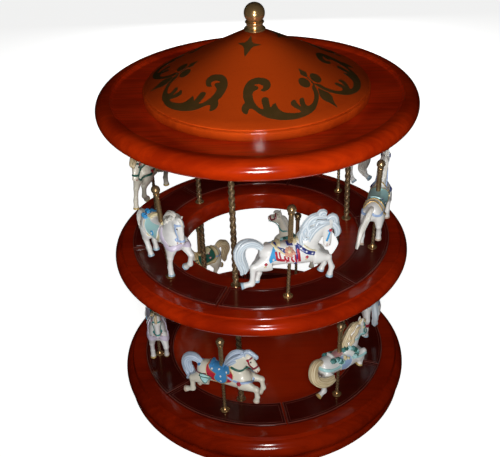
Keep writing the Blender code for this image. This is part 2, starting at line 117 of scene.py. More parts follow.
class Graph:
    """The node graph of one material."""

    def __init__(self, material: bpy.types.Material) -> None:
        """Start from an empty graph.

        Args:
            material: The material that the graph belongs to.
        """
        material.use_nodes = True
        self.tree = material.node_tree
        self.tree.nodes.clear()

    def node(self, kind: str, settings: dict, inputs: dict, output: int | str = 0) -> Sock:
        """Add one node.

        Args:
            kind: The node's type.
            settings: Properties that are set first; "stops" fills a colour ramp.
            inputs: Values or sockets by the input's name or number.
            output: The output to return, by name or number.

        Returns:
            That output.
        """
        made = self.tree.nodes.new(kind)
        for key, value in settings.items():
            if key == "stops":
                ramp = made.color_ramp.elements
                while len(ramp) < len(value):
                    ramp.new(0.5)
                for stop, (place, colour) in zip(ramp, value):
                    stop.position = place
                    stop.color = (*colour, 1.0)
            else:
                setattr(made, key, value)
        for key, value in inputs.items():
            if isinstance(value, Sock):
                self.tree.links.new(value.socket, made.inputs[key])
            elif isinstance(value, tuple) and made.inputs[key].type == "RGBA":
                made.inputs[key].default_value = (*value, 1.0)
            else:
                made.inputs[key].default_value = value
        return Sock(self, made.outputs[output])

    def mix(self, share: "Sock | float", first: "Sock | Colour", second: "Sock | Colour") -> Sock:
        """A mix of two colours, in which the second has a share from 0 to 1."""
        return self.node("ShaderNodeMix", {"data_type": "RGBA"}, {0: share, 6: first, 7: second}, 2)

    def stretched(self, scale: Point = (1.0, 1.0, 1.0)) -> Sock:
        """The object's own coordinates, stretched along each axis."""
        place = self.node("ShaderNodeTexCoord", {}, {}, "Object")
        return self.node("ShaderNodeVectorMath", {"operation": "MULTIPLY"}, {0: place, 1: scale})

    def noise(self, place: Sock, scale: float, detail: float = 3.0, bend: float = 0.0) -> Sock:
        """Soft noise about 0.5: the scale says how fine it is, the bend how far it folds over itself."""
        inputs = {"Vector": place, "Scale": scale, "Detail": detail, "Distortion": bend}
        return self.node("ShaderNodeTexNoise", {}, inputs)

    def bump(self, height: Sock, depth: float, strength: float) -> Sock:
        """A normal bent by a height from 0 to 1, for relief of a depth in metres."""
        return self.node("ShaderNodeBump", {}, {"Strength": strength, "Distance": depth, "Height": height})

    def hollow(self) -> Sock:
        """How deep a point lies in a groove, from 0 to 1."""
        return self.node("ShaderNodeAttribute", {"attribute_name": "hollow"}, {}, "Fac")

    def surface(self, **inputs: "Sock | float | Colour") -> None:
        """Finish the graph with one shader.

        Args:
            inputs: Values of the shader's sockets, with _ for a space.
        """
        named = {key.replace("_", " "): value for key, value in inputs.items()}
        shader = self.node("ShaderNodeBsdfPrincipled", {}, named)
        out = self.tree.nodes.new("ShaderNodeOutputMaterial")
        self.tree.links.new(shader.socket, out.inputs["Surface"])


@dataclass(frozen=True)
class Finish:
    """One surface finish, which becomes one material."""

    name: str

    def material(self) -> bpy.types.Material:
        """The finish's material, made the first time it is asked for.

        Returns:
            The material.
        """
        known = bpy.data.materials.get(self.name)
        if known:
            return known
        made = bpy.data.materials.new(self.name)
        self.dress(Graph(made))
        return made

    def dress(self, graph: Graph) -> None:
        """Fill the material's empty graph."""
        raise NotImplementedError


@dataclass(frozen=True)
class Lacquer(Finish):
    """Stained hardwood under gloss lacquer, its grain running across the carousel."""

    light: Colour
    dark: Colour
    roughness: float = 0.34
    coat: float = 0.9
    polish: float = 0.13
    grain: Point = (14.0, 210.0, 90.0)

    def dress(self, graph: Graph) -> None:
        """Grain, clouds and pores under a clear coat.

        Args:
            graph: The material's empty graph.
        """
        along = graph.stretched(self.grain)
        figure = graph.noise(along, 1.0, 5.0, 0.35)
        cloudy = graph.noise(graph.stretched(), 16.0, 2.0)
        pores = graph.noise(graph.stretched(tuple(4.5 * step for step in self.grain)), 1.0, 2.0)
        tone = (figure * 0.40 + cloudy * 0.60).between(0.34, 0.68)
        stain = graph.mix(tone, self.dark, self.light)
        colour = graph.mix(pores.between(0.60, 0.78) * 0.20, stain, tuple(0.35 * part for part in self.dark))
        rough = self.roughness + 0.12 * cloudy
        skin = graph.noise(graph.stretched(), 420.0, 1.0)
        graph.surface(Base_Color=colour, Roughness=rough, Coat_Weight=self.coat, Coat_Roughness=self.polish,
                      Specular_IOR_Level=0.12, Specular_Tint=self.light,
                      Normal=graph.bump(figure * 0.4 + skin * 0.6, 0.00012, 0.05))


@dataclass(frozen=True)
class Satin(Finish):
    """Satin-stained wood of the cone, darker towards its top and its rim."""

    light: Colour
    dark: Colour
    low: float
    high: float

    def dress(self, graph: Graph) -> None:
        """Cloudy grain that darkens at the rim and the top, under a fine speckle.

        Args:
            graph: The material's empty graph.
        """
        place = graph.stretched()
        height = graph.node("ShaderNodeSeparateXYZ", {}, {0: place}, "Z")
        reach = self.high - self.low
        rim = 1.0 - height.between(self.low + 0.02 * reach, self.low + 0.30 * reach)
        crown = height.between(self.low + 0.72 * reach, self.high)
        cloudy = graph.noise(place, 26.0, 3.0)
        grain = graph.noise(graph.stretched((16.0, 240.0, 60.0)), 1.0, 5.0, 0.3)
        darker_share = (rim * 0.22 + crown * 0.55 + (cloudy + grain) * 0.35 - 0.28).between(0.0, 1.0)
        colour = graph.mix(darker_share, self.light, self.dark)
        speckle = graph.noise(place, 700.0, 1.0).between(0.62, 0.72)
        worn = graph.mix(speckle * 0.20, colour, self.dark)
        graph.surface(Base_Color=worn, Roughness=0.40 + 0.12 * cloudy, Coat_Weight=0.30, Coat_Roughness=0.22,
                      Specular_IOR_Level=0.25, Specular_Tint=self.light,
                      Normal=graph.bump(grain, 0.0001, 0.12))


@dataclass(frozen=True)
class Stencil(Finish):
    """Thin stencilled paint, a little uneven, as the wood shows through it."""

    colour: Colour
    thin: Colour

    def dress(self, graph: Graph) -> None:
        """Thin paint that is worn in large and small patches.

        Args:
            graph: The material's empty graph.
        """
        place = graph.stretched()
        wear = graph.noise(place, 90.0, 4.0) * 0.6 + graph.noise(place, 640.0, 2.0) * 0.4
        wear = wear.between(0.45, 0.68)
        graph.surface(Base_Color=graph.mix(wear * 0.5, self.colour, self.thin), Roughness=0.38 + 0.2 * wear,
                      Coat_Weight=0.3, Coat_Roughness=0.22)


@dataclass(frozen=True)
class Brass(Finish):
    """Antiqued brass: bright where it is rubbed, brown in its grooves and in patches."""

    bright: Colour = (0.62, 0.43, 0.20)
    aged: Colour = (0.15, 0.085, 0.035)
    age: float = 0.5

    def dress(self, graph: Graph) -> None:
        """Bright metal with tarnish in its hollows and in patches.

        Args:
            graph: The material's empty graph.
        """
        place = graph.stretched()
        patches = graph.noise(place, 130.0, 4.0)
        fine = graph.noise(place, 900.0, 2.0)
        tarnish = (graph.hollow() * 0.9 + patches * 0.9 + self.age - 0.6).between(0.15, 0.95)
        colour = graph.mix(tarnish, self.bright, self.aged)
        graph.surface(Base_Color=colour, Metallic=0.80 - 0.30 * tarnish, Roughness=0.22 + 0.26 * tarnish,
                      Normal=graph.bump(fine, 0.00006, 0.25))


@dataclass(frozen=True)
class Glaze(Finish):
    """Paint on porcelain under a thin glaze, darker in the grooves: partly a real wash, partly painted shade.
    """

    colour: Colour
    wash_and_shade: Colour = (0.42, 0.33, 0.22)
    groove_darkening: float = 0.7
    shine: float = 0.55
    metal: float = 0.0

    def dress(self, graph: Graph) -> None:
        """Glazed paint, darker in its hollows: partly a wash, partly painted shade.

        Args:
            graph: The material's empty graph.
        """
        place = graph.stretched()
        cloudy = graph.noise(place, 150.0, 3.0)
        # Darker in the hollows: partly a wash in the paint, partly painted shade; cloudy patches add real
        # tone.
        wash_and_shade = (graph.hollow() * self.groove_darkening + cloudy.between(0.55, 0.85) * 0.14).between(0.0, 1.0)
        colour = graph.mix(wash_and_shade, self.colour, self.wash_and_shade)
        graph.surface(Base_Color=colour, Roughness=0.42 - 0.18 * self.shine + 0.10 * cloudy,
                      Metallic=self.metal, Coat_Weight=self.shine * 0.6, Coat_Roughness=0.12,
                      Normal=graph.bump(graph.noise(place, 1100.0, 1.0), 0.00008, 0.18))


@dataclass(frozen=True)
class Plaster(Finish):
    """Pale studio floor."""

    colour: Colour = (0.90, 0.90, 0.895)
    glow: float = 0.93

    def dress(self, graph: Graph) -> None:
        """Faint clouds and an even glow.

        Args:
            graph: The material's empty graph.
        """
        cloudy = graph.noise(graph.stretched(), 2.0, 3.0)
        darker = tuple(0.985 * part for part in self.colour)
        graph.surface(Base_Color=graph.mix(cloudy, darker, self.colour), Roughness=0.75,
                      Emission_Color=self.colour, Emission_Strength=self.glow)


CHERRY = Lacquer("cherry_lacquer", (0.490, 0.0255, 0.0013), (0.280, 0.0118, 0.0007))
# A darker copy of the cherry for the base disc and the foot: painted shade for the dimmer light low down.
BASE_CHERRY_PAINTED_SHADE = Lacquer("base_painted_shade_lacquer", (0.330, 0.0165, 0.0009), (0.180, 0.0082, 0.0005))
# A lighter copy for the middle of the base deck: painted light in the shade under the middle deck.
BASE_MIDDLE_PAINTED_LIGHT = Lacquer("base_middle_painted_light_lacquer", (0.450, 0.025, 0.0013), (0.340, 0.0175, 0.0010))
# A lighter copy of the cherry for the roof's rim: painted light.
ROOF_CHERRY_PAINTED_LIGHT = Lacquer("roof_painted_light_lacquer", (0.600, 0.036, 0.0017), (0.350, 0.0165, 0.0009))
# A brighter, more orange cherry for the cone's pedestal: partly a lighter stain, partly painted light.
PEDESTAL_STAIN_AND_LIGHT = Lacquer("pedestal_stain_and_painted_light_lacquer", (0.700, 0.078, 0.0060), (0.480, 0.042, 0.0030))
# A much lighter copy for the roof's sunk field: painted light where the cone shades it.
FIELD_CHERRY_PAINTED_LIGHT = Lacquer("roof_field_painted_light_lacquer", (0.900, 0.048, 0.0040), (0.460, 0.020, 0.0017))
DARK_PANEL = Lacquer("dark_panel_lacquer", (0.070, 0.0046, 0.0021), (0.044, 0.0030, 0.0015), 0.30, 0.85)
# A lighter copy of the panel lacquer for the middle deck's panels: painted light.
UPPER_PANEL_PAINTED_LIGHT = Lacquer("upper_panel_painted_light_lacquer", (0.140, 0.0090, 0.0044), (0.090, 0.0062, 0.0032), 0.30, 0.85)
# A lighter lacquer for the panels' bead crests, where it is a painted highlight, and for the scribed line,
# partly a lighter line and partly painted light that the groove catches.
SCRIBED_LINE_AND_PAINTED_HIGHLIGHT = Lacquer("scribed_line_and_painted_highlight_lacquer", (0.230, 0.060, 0.045), (0.170, 0.040, 0.030), 0.30, 0.85)
STENCIL = Stencil("scroll_stencil", (0.072, 0.040, 0.009), (0.13, 0.050, 0.008))
ANTIQUE_BRASS = Brass("antique_brass", (0.50, 0.34, 0.17), (0.105, 0.062, 0.030))
BRIGHT_BRASS = Brass("polished_brass", (0.60, 0.36, 0.15), (0.14, 0.080, 0.034), 0.30)

COAT_WHITE = Glaze("porcelain_white", (0.84, 0.83, 0.80), (0.50, 0.42, 0.32))
COAT_CREAM = Glaze("porcelain_cream", (0.82, 0.77, 0.64), (0.50, 0.37, 0.24))
MANE_GREY = Glaze("mane_blue_grey", (0.76, 0.82, 0.86), (0.42, 0.52, 0.60), 0.9, 0.25)
MANE_BLUE = Glaze("mane_pale_blue", (0.64, 0.73, 0.86), (0.34, 0.45, 0.62), 0.9, 0.25)
MANE_GOLD = Glaze("mane_golden_cream", (0.80, 0.68, 0.44), (0.50, 0.33, 0.15), 0.9, 0.25)
MANE_WHITE = Glaze("mane_white", (0.86, 0.85, 0.80), (0.60, 0.55, 0.45), 0.9, 0.25)
HOOF_BEIGE = Glaze("hoof_beige", (0.62, 0.46, 0.35), (0.30, 0.18, 0.12))
HOOF_BLUE = Glaze("hoof_grey_blue", (0.40, 0.54, 0.64), (0.18, 0.24, 0.30))
HOOF_GOLD = Glaze("hoof_golden", (0.62, 0.44, 0.16), (0.30, 0.18, 0.06))
PAINT_WHITE = Glaze("paint_white", (0.84, 0.84, 0.82), (0.5, 0.5, 0.5))
PAINT_CREAM = Glaze("paint_cream_yellow", (0.80, 0.70, 0.42), (0.45, 0.33, 0.14))
PAINT_NAVY = Glaze("paint_navy", (0.020, 0.035, 0.22), (0.01, 0.01, 0.06))
PAINT_BLUE = Glaze("paint_sky_blue", (0.060, 0.27, 0.56), (0.02, 0.10, 0.28))
PAINT_PALE_BLUE = Glaze("paint_pale_blue", (0.36, 0.50, 0.76), (0.15, 0.24, 0.42))
PAINT_BRIGHT_BLUE = Glaze("paint_bright_blue", (0.05, 0.38, 0.76), (0.02, 0.16, 0.45))
PAINT_TEAL = Glaze("paint_teal", (0.08, 0.30, 0.28), (0.03, 0.12, 0.11))
PAINT_AQUA = Glaze("paint_aqua", (0.46, 0.76, 0.76), (0.18, 0.42, 0.45))
PAINT_GREEN = Glaze("paint_dark_green", (0.015, 0.11, 0.08), (0.01, 0.04, 0.03))
PAINT_RED = Glaze("paint_red", (0.50, 0.012, 0.035), (0.22, 0.005, 0.015))
PAINT_MAROON = Glaze("paint_maroon", (0.26, 0.010, 0.03), (0.09, 0.005, 0.01))
PAINT_PINK = Glaze("paint_pink", (0.74, 0.36, 0.38), (0.42, 0.14, 0.14))
PAINT_PEACH = Glaze("paint_peach", (0.80, 0.42, 0.30), (0.50, 0.20, 0.12))
PAINT_LILAC = Glaze("paint_lilac", (0.70, 0.62, 0.76), (0.40, 0.33, 0.48))
PAINT_GOLD = Glaze("paint_gold", (0.62, 0.42, 0.15), (0.30, 0.17, 0.05), 0.7, 0.6, 0.4)
EYE_DARK = Glaze("eye_dark", (0.02, 0.012, 0.010), (0.01, 0.01, 0.01), 0.2, 1.0)
LIP_ROSE = Glaze("lip_rose", (0.42, 0.16, 0.13), (0.2, 0.08, 0.06))


@dataclass
class Shape:
    """Points and faces, with how deep each point lies in a groove."""

    points: np.ndarray
    faces: list[Face]
    hollow: np.ndarray | None = None

    def part(self, faces: list[Face]) -> "Shape":
        """A shape of its own from some faces.

        Args:
            faces: Faces on this shape's points.

        Returns:
            Those faces with only the points that they use.
        """
        used = sorted({index for face in faces for index in face})
        place = {index: number for number, index in enumerate(used)}
        return Shape(self.points[used], [tuple(place[index] for index in face) for face in faces])


def joined(shapes: Iterable[Shape]) -> tuple[np.ndarray, list[Face]]:
    """Points and faces of some shapes as one list each.

    Args:
        shapes: The shapes in order.

    Returns:
        All points, and faces on them.
    """
    points, faces, start = [], [], 0
    for shape in shapes:
        points.append(shape.points)
        faces += [tuple(corner + start for corner in face) for face in shape.faces]
        start += len(shape.points)
    return np.vstack(points), faces


@dataclass
class Clay:
    """Shapes gathered into one piece, each shape with its own finish."""

    name: str
    parts: list[tuple[Shape, Finish]] = field(default_factory=list)

    def add(self, shape: Shape, finish: Finish) -> None:
        """Add one shape, painted with a finish."""
        self.parts.append((shape, finish))

    def bake(self, node: str, slot: str, crease: float = 32.0, matrix: Matrix = UPRIGHT, scale: float = 1.0,
             body: str = "carousel") -> None:
        """Make the piece and set it in the frame.

        Args:
            node: The CAD node that the piece stands for.
            slot: A material slot's name; it is not used.
            crease: Angle in degrees past which an edge is sharp.
            matrix: Where the shapes' own frame lies.
            scale: Size of the shapes' unit in metres.
            body: The CAD body that it rides on.
        """
        shapes, finishes = zip(*self.parts)
        points, faces = joined(shapes)
        points = points * scale @ np.array(matrix.to_3x3()).T + np.array(matrix.to_translation())
        mesh = bpy.data.meshes.new(self.name)
        mesh.from_pydata(points.tolist(), [], faces)
        palette = list(dict.fromkeys(finishes))
        for finish in palette:
            mesh.materials.append(finish.material())
        paint = [palette.index(finish) for shape, finish in self.parts for _ in shape.faces]
        mesh.polygons.foreach_set("material_index", paint)
        deep = [np.zeros(len(shape.points)) if shape.hollow is None else shape.hollow for shape in shapes]
        mesh.attributes.new("hollow", "FLOAT", "POINT").data.foreach_set("value", np.concatenate(deep))
        mesh.shade_smooth()
        mesh.set_sharp_from_angle(angle=math.radians(crease))
        piece = bpy.data.objects.new(self.name, mesh)
        bpy.context.scene.collection.objects.link(piece)
        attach(piece, body)
        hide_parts(node)
        log.info("%s: %d faces", self.name, len(faces))


def arc(centre: Spot, radius: float, start: float, end: float, steps: int) -> list[Spot]:
    """Points on an arc in the (radius, height) plane from one angle in degrees to another, both included."""
    angles = [math.radians(start + (end - start) * step / steps) for step in range(steps + 1)]
    return [(centre[0] + radius * math.cos(angle), centre[1] + radius * math.sin(angle)) for angle in angles]


def ring_faces(here: int, there: int, sides: int) -> list[Face]:
    """Faces between two rings of points, each ring given by the number of its first point."""
    return [(here + k, there + k, there + (k + 1) % sides, here + (k + 1) % sides) for k in range(sides)]


def turned(profile: Sequence[Spot], steps: int, ring: bool = False) -> Shape:
    """Turn a profile on the lathe.

    Args:
        profile: (radius, height) points from the top down the outer side.
        steps: Number of steps round the axis.
        ring: Whether the profile closes on itself round a hole.

    Returns:
        The turned shape.
    """
    points: list[Point] = []
    rows: list[tuple[int, bool]] = []
    for radius, height in profile:
        on_axis = radius < TINY
        rows.append((len(points), on_axis))
        for step in range(1 if on_axis else steps):
            angle = math.tau * step / steps
            points.append((radius * math.cos(angle), radius * math.sin(angle), height))
    faces: list[Face] = []
    for (upper, above_on_axis), (lower, below_on_axis) in zip(rows, rows[1:] + (rows[:1] if ring else [])):
        if above_on_axis:
            faces += [(upper, lower + i, lower + (i + 1) % steps) for i in range(steps)]
        elif below_on_axis:
            faces += [(upper + i, lower, upper + (i + 1) % steps) for i in range(steps)]
        else:
            faces += ring_faces(upper, lower, steps)
    return Shape(np.array(points), faces)


def flowing(stations: Sequence[Sequence[float]], count: int, closed: bool = False) -> np.ndarray:
    """A smooth curve through stations of any number of columns.

    Args:
        stations: The rows to pass through.
        count: How many rows to return.
        closed: Whether the curve returns to its first station.

    Returns:
        The rows of the curve.
    """
    rows = np.array(stations, float)
    if closed:
        padded = np.vstack([rows[-1:], rows, rows[:2]])
        places = np.linspace(0, len(rows), count, endpoint=False)
    else:
        padded = np.vstack([2 * rows[0] - rows[1], rows, 2 * rows[-1] - rows[-2]])
        places = np.linspace(0, len(rows) - 1, count)
    first = np.minimum(places.astype(int), len(padded) - 4)
    t = (places - first)[:, None]
    a, b, c, d = (padded[first + shift] for shift in range(4))
    bend = (2 * a - 5 * b + 4 * c - d) * t ** 2 + (3 * b - a - 3 * c + d) * t ** 3
    return 0.5 * (2 * b + (c - a) * t + bend)


def rounded(outline: Sequence[Spot], count: int) -> list[Spot]:
    """A smooth closed outline through some corners."""
    return [tuple(row) for row in flowing(outline, count, True)]


def skinned(rows: np.ndarray, closed: bool = False) -> list[Face]:
    """Faces between rings of points.

    Args:
        rows: Ring by ring array of points.
        closed: Whether the last ring joins the first.

    Returns:
        The faces, with a face over each open end.
    """
    count, sides = rows.shape[:2]
    faces: list[Face] = []
    for row in range(count if closed else count - 1):
        faces += ring_faces(row * sides, (row + 1) % count * sides, sides)
    if not closed:
        faces.append(tuple(range(sides)))
        faces.append(tuple(range(count * sides - 1, (count - 1) * sides - 1, -1)))
    return faces


def limb(stations: Sequence[Sequence[float]], sides: int, steps: int, flutes: int = 0, depth: float = 0.0,
         twist: float = 0.0) -> Shape:
    """A limb or a lock of hair with an oval section.

    Args:
        stations: Rows of x, y, z, half depth and half width.
        sides: Points round the section.
        steps: Rings along the limb.
        flutes: Number of grooves round the section.
        depth: Depth of the grooves as a share of the section.
        twist: Turn of the grooves along the limb, in radians.

    Returns:
        The limb.
    """
    rows = flowing(stations, steps)
    thinnest = 0.15
    rows[:, 3:] = np.maximum(rows[:, 3:], thinnest)
    ahead = np.gradient(rows[:, :3], axis=0)
    ahead /= np.linalg.norm(ahead, axis=1)[:, None]
    across = np.array((0.0, 1.0, 0.0)) - ahead * ahead[:, 1:2]
    across /= np.linalg.norm(across, axis=1)[:, None] + TINY
    over = np.cross(ahead, across)
    angle = np.arange(sides) * math.tau / sides
    turn = twist * np.linspace(0, 1, steps)[:, None]
    wave = np.cos(flutes * angle + turn) if flutes else 0 * angle
    swell = np.broadcast_to(1 - depth + depth * wave, (steps, sides))
    rings = (rows[:, None, :3]
             + over[:, None] * (rows[:, 3, None] * swell * np.cos(angle))[..., None]
             + across[:, None] * (rows[:, 4, None] * swell * np.sin(angle))[..., None])
    deep = np.broadcast_to(np.clip(0.5 - wave * 0.5, 0, 1) ** 1.5, (steps, sides)).ravel() if flutes else None
    return Shape(rings.reshape(-1, 3), skinned(rings), deep)


def bead(centre: Sequence[float], normal: Sequence[float], radius: float, height: float, petals: int = 0,
         sides: int = 24) -> Shape:
    """A small dome, scalloped into petals if asked.

    Args:
        centre: Where its middle sits.
        normal: Which way it faces.
        radius: Its radius.
        height: How far it stands out.
        petals: Number of petals.
        sides: Points round it.

    Returns:
        The dome.
    """
    rings = 5
    turn = Vector(normal).normalized().to_track_quat("Z", "Y").to_matrix()
    points = [(0.0, 0.0, height)]
    deep = [0.0]
    for ring in range(1, rings + 2):
        share = min(ring / rings, 1.0)
        for step in range(sides):
            angle = math.tau * step / sides
            lobe = abs(math.cos(petals * angle / 2)) if petals else 1.0
            reach = radius * share * (0.80 + 0.20 * lobe)
            rise = height * math.sqrt(max(1 - share ** 2, 0)) * (0.72 + 0.28 * lobe)
            points.append((reach * math.cos(angle), reach * math.sin(angle),
                           rise if ring <= rings else -height))
            deep.append((1 - lobe) * share)
    faces: list[Face] = [(0, 1 + k, 1 + (k + 1) % sides) for k in range(sides)]
    for ring in range(rings):
        faces += ring_faces(1 + ring * sides, 1 + (ring + 1) * sides, sides)
    faces.append(tuple(1 + rings * sides + k for k in reversed(range(sides))))
    placed = np.array(points) @ np.array(turn).T + np.array(centre)
    return Shape(placed, faces, np.array(deep))


def cut_sheet(outline: Sequence[Spot], cell: Spot) -> tuple[np.ndarray, list[Face], list[Face]]:
    """Fill a flat outline with small faces.

    Args:
        outline: Corners of the outline, counter-clockwise.
        cell: Largest face along the two directions.

    Returns:
        Flat points, faces and edge pairs that bound the sheet.
    """
    form = bmesh.new()
    form.faces.new([form.verts.new((u, v, 0.0)) for u, v in outline])
    form.normal_update()
    bmesh.ops.triangulate(form, faces=form.faces[:])
    corners = np.array(outline)
    for axis, size in enumerate(cell):
        low, high = corners[:, axis].min(), corners[:, axis].max()
        plane = Vector((1.0 - axis, axis, 0.0))
        for level in np.linspace(low, high, int((high - low) / size) + 2)[1:-1]:
            everything = form.verts[:] + form.edges[:] + form.faces[:]
            bmesh.ops.bisect_plane(form, geom=everything, dist=TINY, plane_no=plane, plane_co=plane * level)
    form.verts.index_update()
    form.normal_update()
    flat = np.array([vert.co[:2] for vert in form.verts])
    faces = [tuple(v.index for v in (face.verts if face.normal.z > 0 else reversed(face.verts)))
             for face in form.faces]
    sides = dict.fromkeys(pair for face in faces for pair in zip(face, face[1:] + face[:1]))
    rim = [(a, b) for a, b in sides if (b, a) not in sides]
    form.free()
    return flat, faces, rim


def laid(outline: Sequence[Spot], cell: Spot, lay: Callable[[float, float], tuple[Vector, Vector]],
         over: float, under: float) -> Shape:
    """A thin sheet of an outline's shape, laid on a curved surface.

    Args:
        outline: The outline in the surface's own two coordinates.
        cell: Largest face along those coordinates.
        lay: Gives the point and normal of the surface.
        over: Height of the sheet's face over the surface.
        under: Depth of its back below the surface.

    Returns:
        The closed sheet.
    """
    flat, faces, rim = cut_sheet(outline, cell)
    spots = [lay(u, v) for u, v in flat]
    face_points = [place + normal * over for place, normal in spots]
    back_points = [place - normal * under for place, normal in spots]
    count = len(spots)
    every = faces + [tuple(index + count for index in reversed(face)) for face in faces]
    every += [(b, a, a + count, b + count) for a, b in rim]
    return Shape(np.array([tuple(point) for point in face_points + back_points]), every)


def ribbon(places: np.ndarray, normals: np.ndarray, half: float, over: float, closed: bool) -> Shape:
    """A strap along points on a surface.

    Args:
        places: The strap's middle line on the surface.
        normals: The surface's normals there.
        half: Half the strap's width.
        over: How far it stands proud.
        closed: Whether it is a ring.

    Returns:
        The strap.
    """
    if closed:
        ahead = np.roll(places, -1, 0) - np.roll(places, 1, 0)
    else:
        ahead = np.gradient(places, axis=0)
    side = np.cross(ahead, normals)
    side /= np.linalg.norm(side, axis=1)[:, None] + TINY
    crown, shoulder, foot = 0.72 * half, 0.55 * over, -0.35
    section = [(half, foot), (half, shoulder), (crown, over),
               (-crown, over), (-half, shoulder), (-half, foot)]
    rings = np.stack([places + side * s + normals * n for s, n in section], axis=1)
    return Shape(rings.reshape(-1, 3), skinned(rings, closed))


@dataclass
class Disc:
    """A turned wooden board with a rounded rim and, inside it, a deck that stands a little proud."""

    node: str
    rise: float
    step: float
    slope: float
    hole: float = 0.0
    lip: float = 0.0022
    edge: float = 0.0007
    middle_share: float = 0.76
    steps: int = 200
    finish: Finish = CHERRY
    # A finish for the deck's middle where it differs: on the base, a lighter copy that is painted light.
    middle: Finish | None = None

    def profile(self) -> list[Spot]:
        """The board's outline from its middle or its hole down round the rim.

        Returns:
            Its radii and heights.
        """
        low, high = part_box(self.node)
        radius, bottom, top = high.x, low.z, high.z
        half = (top - self.rise - bottom) / 2
        centre = (radius - half, bottom + half)
        lean = math.degrees(math.acos(min((self.step - centre[0]) / half, 1.0)))
        rim = arc(centre, half, lean, -90.0, 22)
        edge = self.edge
        crown = self.step - self.slope
        inner = [(crown - edge, top), (crown - 0.2 * edge, top - 0.25 * edge),
                 (self.step - 0.3 * self.slope, rim[0][1] + 0.3 * edge)]
        if self.hole:
            crest = arc((self.hole + self.lip, top - self.lip), self.lip, 180.0, 90.0, 6)
            lower = arc((self.hole + self.lip, bottom + self.lip), self.lip, 270.0, 180.0, 4)
            return inner + rim + lower + crest
        middle = [(0.0, top), (self.middle_share * self.step, top)]
        return middle + inner + rim + [(0.5 * radius, bottom), (0.0, bottom)]

    def build(self) -> None:
        """Turn the board and dress it."""
        clay = Clay(self.node + "_turned")
        profile = self.profile()
        # On the base, the deck's middle takes a lighter copy of the lacquer, which is painted light.
        if self.middle:
            clay.add(turned(profile[:2], self.steps), self.middle)
            profile = profile[1:]
        clay.add(turned(profile, self.steps, bool(self.hole)), self.finish)
        clay.bake(self.node, "cherry_wood")


@dataclass
class RoofBoard:
    """The roof: a turned board whose rounded rim stands round a sunk field."""

    node: str = "roof_board"
    field_radius: float = 0.1470
    field_height: float = 0.3775
    crest_inner: float = 0.1540
    bead_radius: float = 0.0011
    cove_radius: float = 0.0022
    set_back: float = 0.0016
    steps: int = 200

    def build(self) -> None:
        """Turn the board and dress it."""
        low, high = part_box(self.node)
        half = (high.z - low.z) / 2
        centre = (high.x - half, low.z + half)
        rim = arc(centre, half, 90.0, -90.0, 26)
        lip = arc((self.crest_inner, high.z - self.bead_radius), self.bead_radius, 170.0, 90.0, 5)
        cove_centre = (self.field_radius + self.set_back, self.field_height + self.cove_radius)
        cove = arc(cove_centre, self.cove_radius, 270.0, 330.0, 5)
        field = [(share * self.field_radius, self.field_height) for share in (0.0, 0.3, 0.8)]
        slope = [(self.crest_inner - self.set_back, high.z - 1.7 * self.bead_radius)]
        under = [(0.5 * high.x, low.z), (0.0, low.z)]
        clay = Clay("roof_board_turned")
        # The sunk field and the rim take lighter copies of the cherry, which are painted light.
        clay.add(turned(field + cove + slope, self.steps), FIELD_CHERRY_PAINTED_LIGHT)
        clay.add(turned(slope + lip + rim + under, self.steps), ROOF_CHERRY_PAINTED_LIGHT)
        clay.bake(self.node, "cherry_wood")


@dataclass
class TurntableFoot:
    """The low disc under the base, which stands still while the rest turns."""

    node: str = "turntable_foot"
    race_radius: float = 0.060
    round_over: float = 0.0034
    chamfer: float = 0.0012
    running_gap: float = 0.0007
    steps: int = 160

    def build(self) -> None:
        """Turn the foot and dress it."""
        low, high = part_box(self.node)
        top = high.z - self.running_gap
        profile = [(0.0, high.z), (self.race_radius, high.z), (self.race_radius, top)]
        profile += arc((high.x - self.round_over, top - self.round_over), self.round_over, 90.0, 0.0, 7)
        profile += [(high.x, low.z + self.chamfer), (high.x - self.chamfer, low.z), (0.0, low.z)]
        clay = Clay("turntable_foot_turned")
        # The foot takes the base's darker copy of the cherry, which is painted shade.
        clay.add(turned(profile, self.steps), BASE_CHERRY_PAINTED_SHADE)
        clay.bake(self.node, "cherry_wood", body="foot")


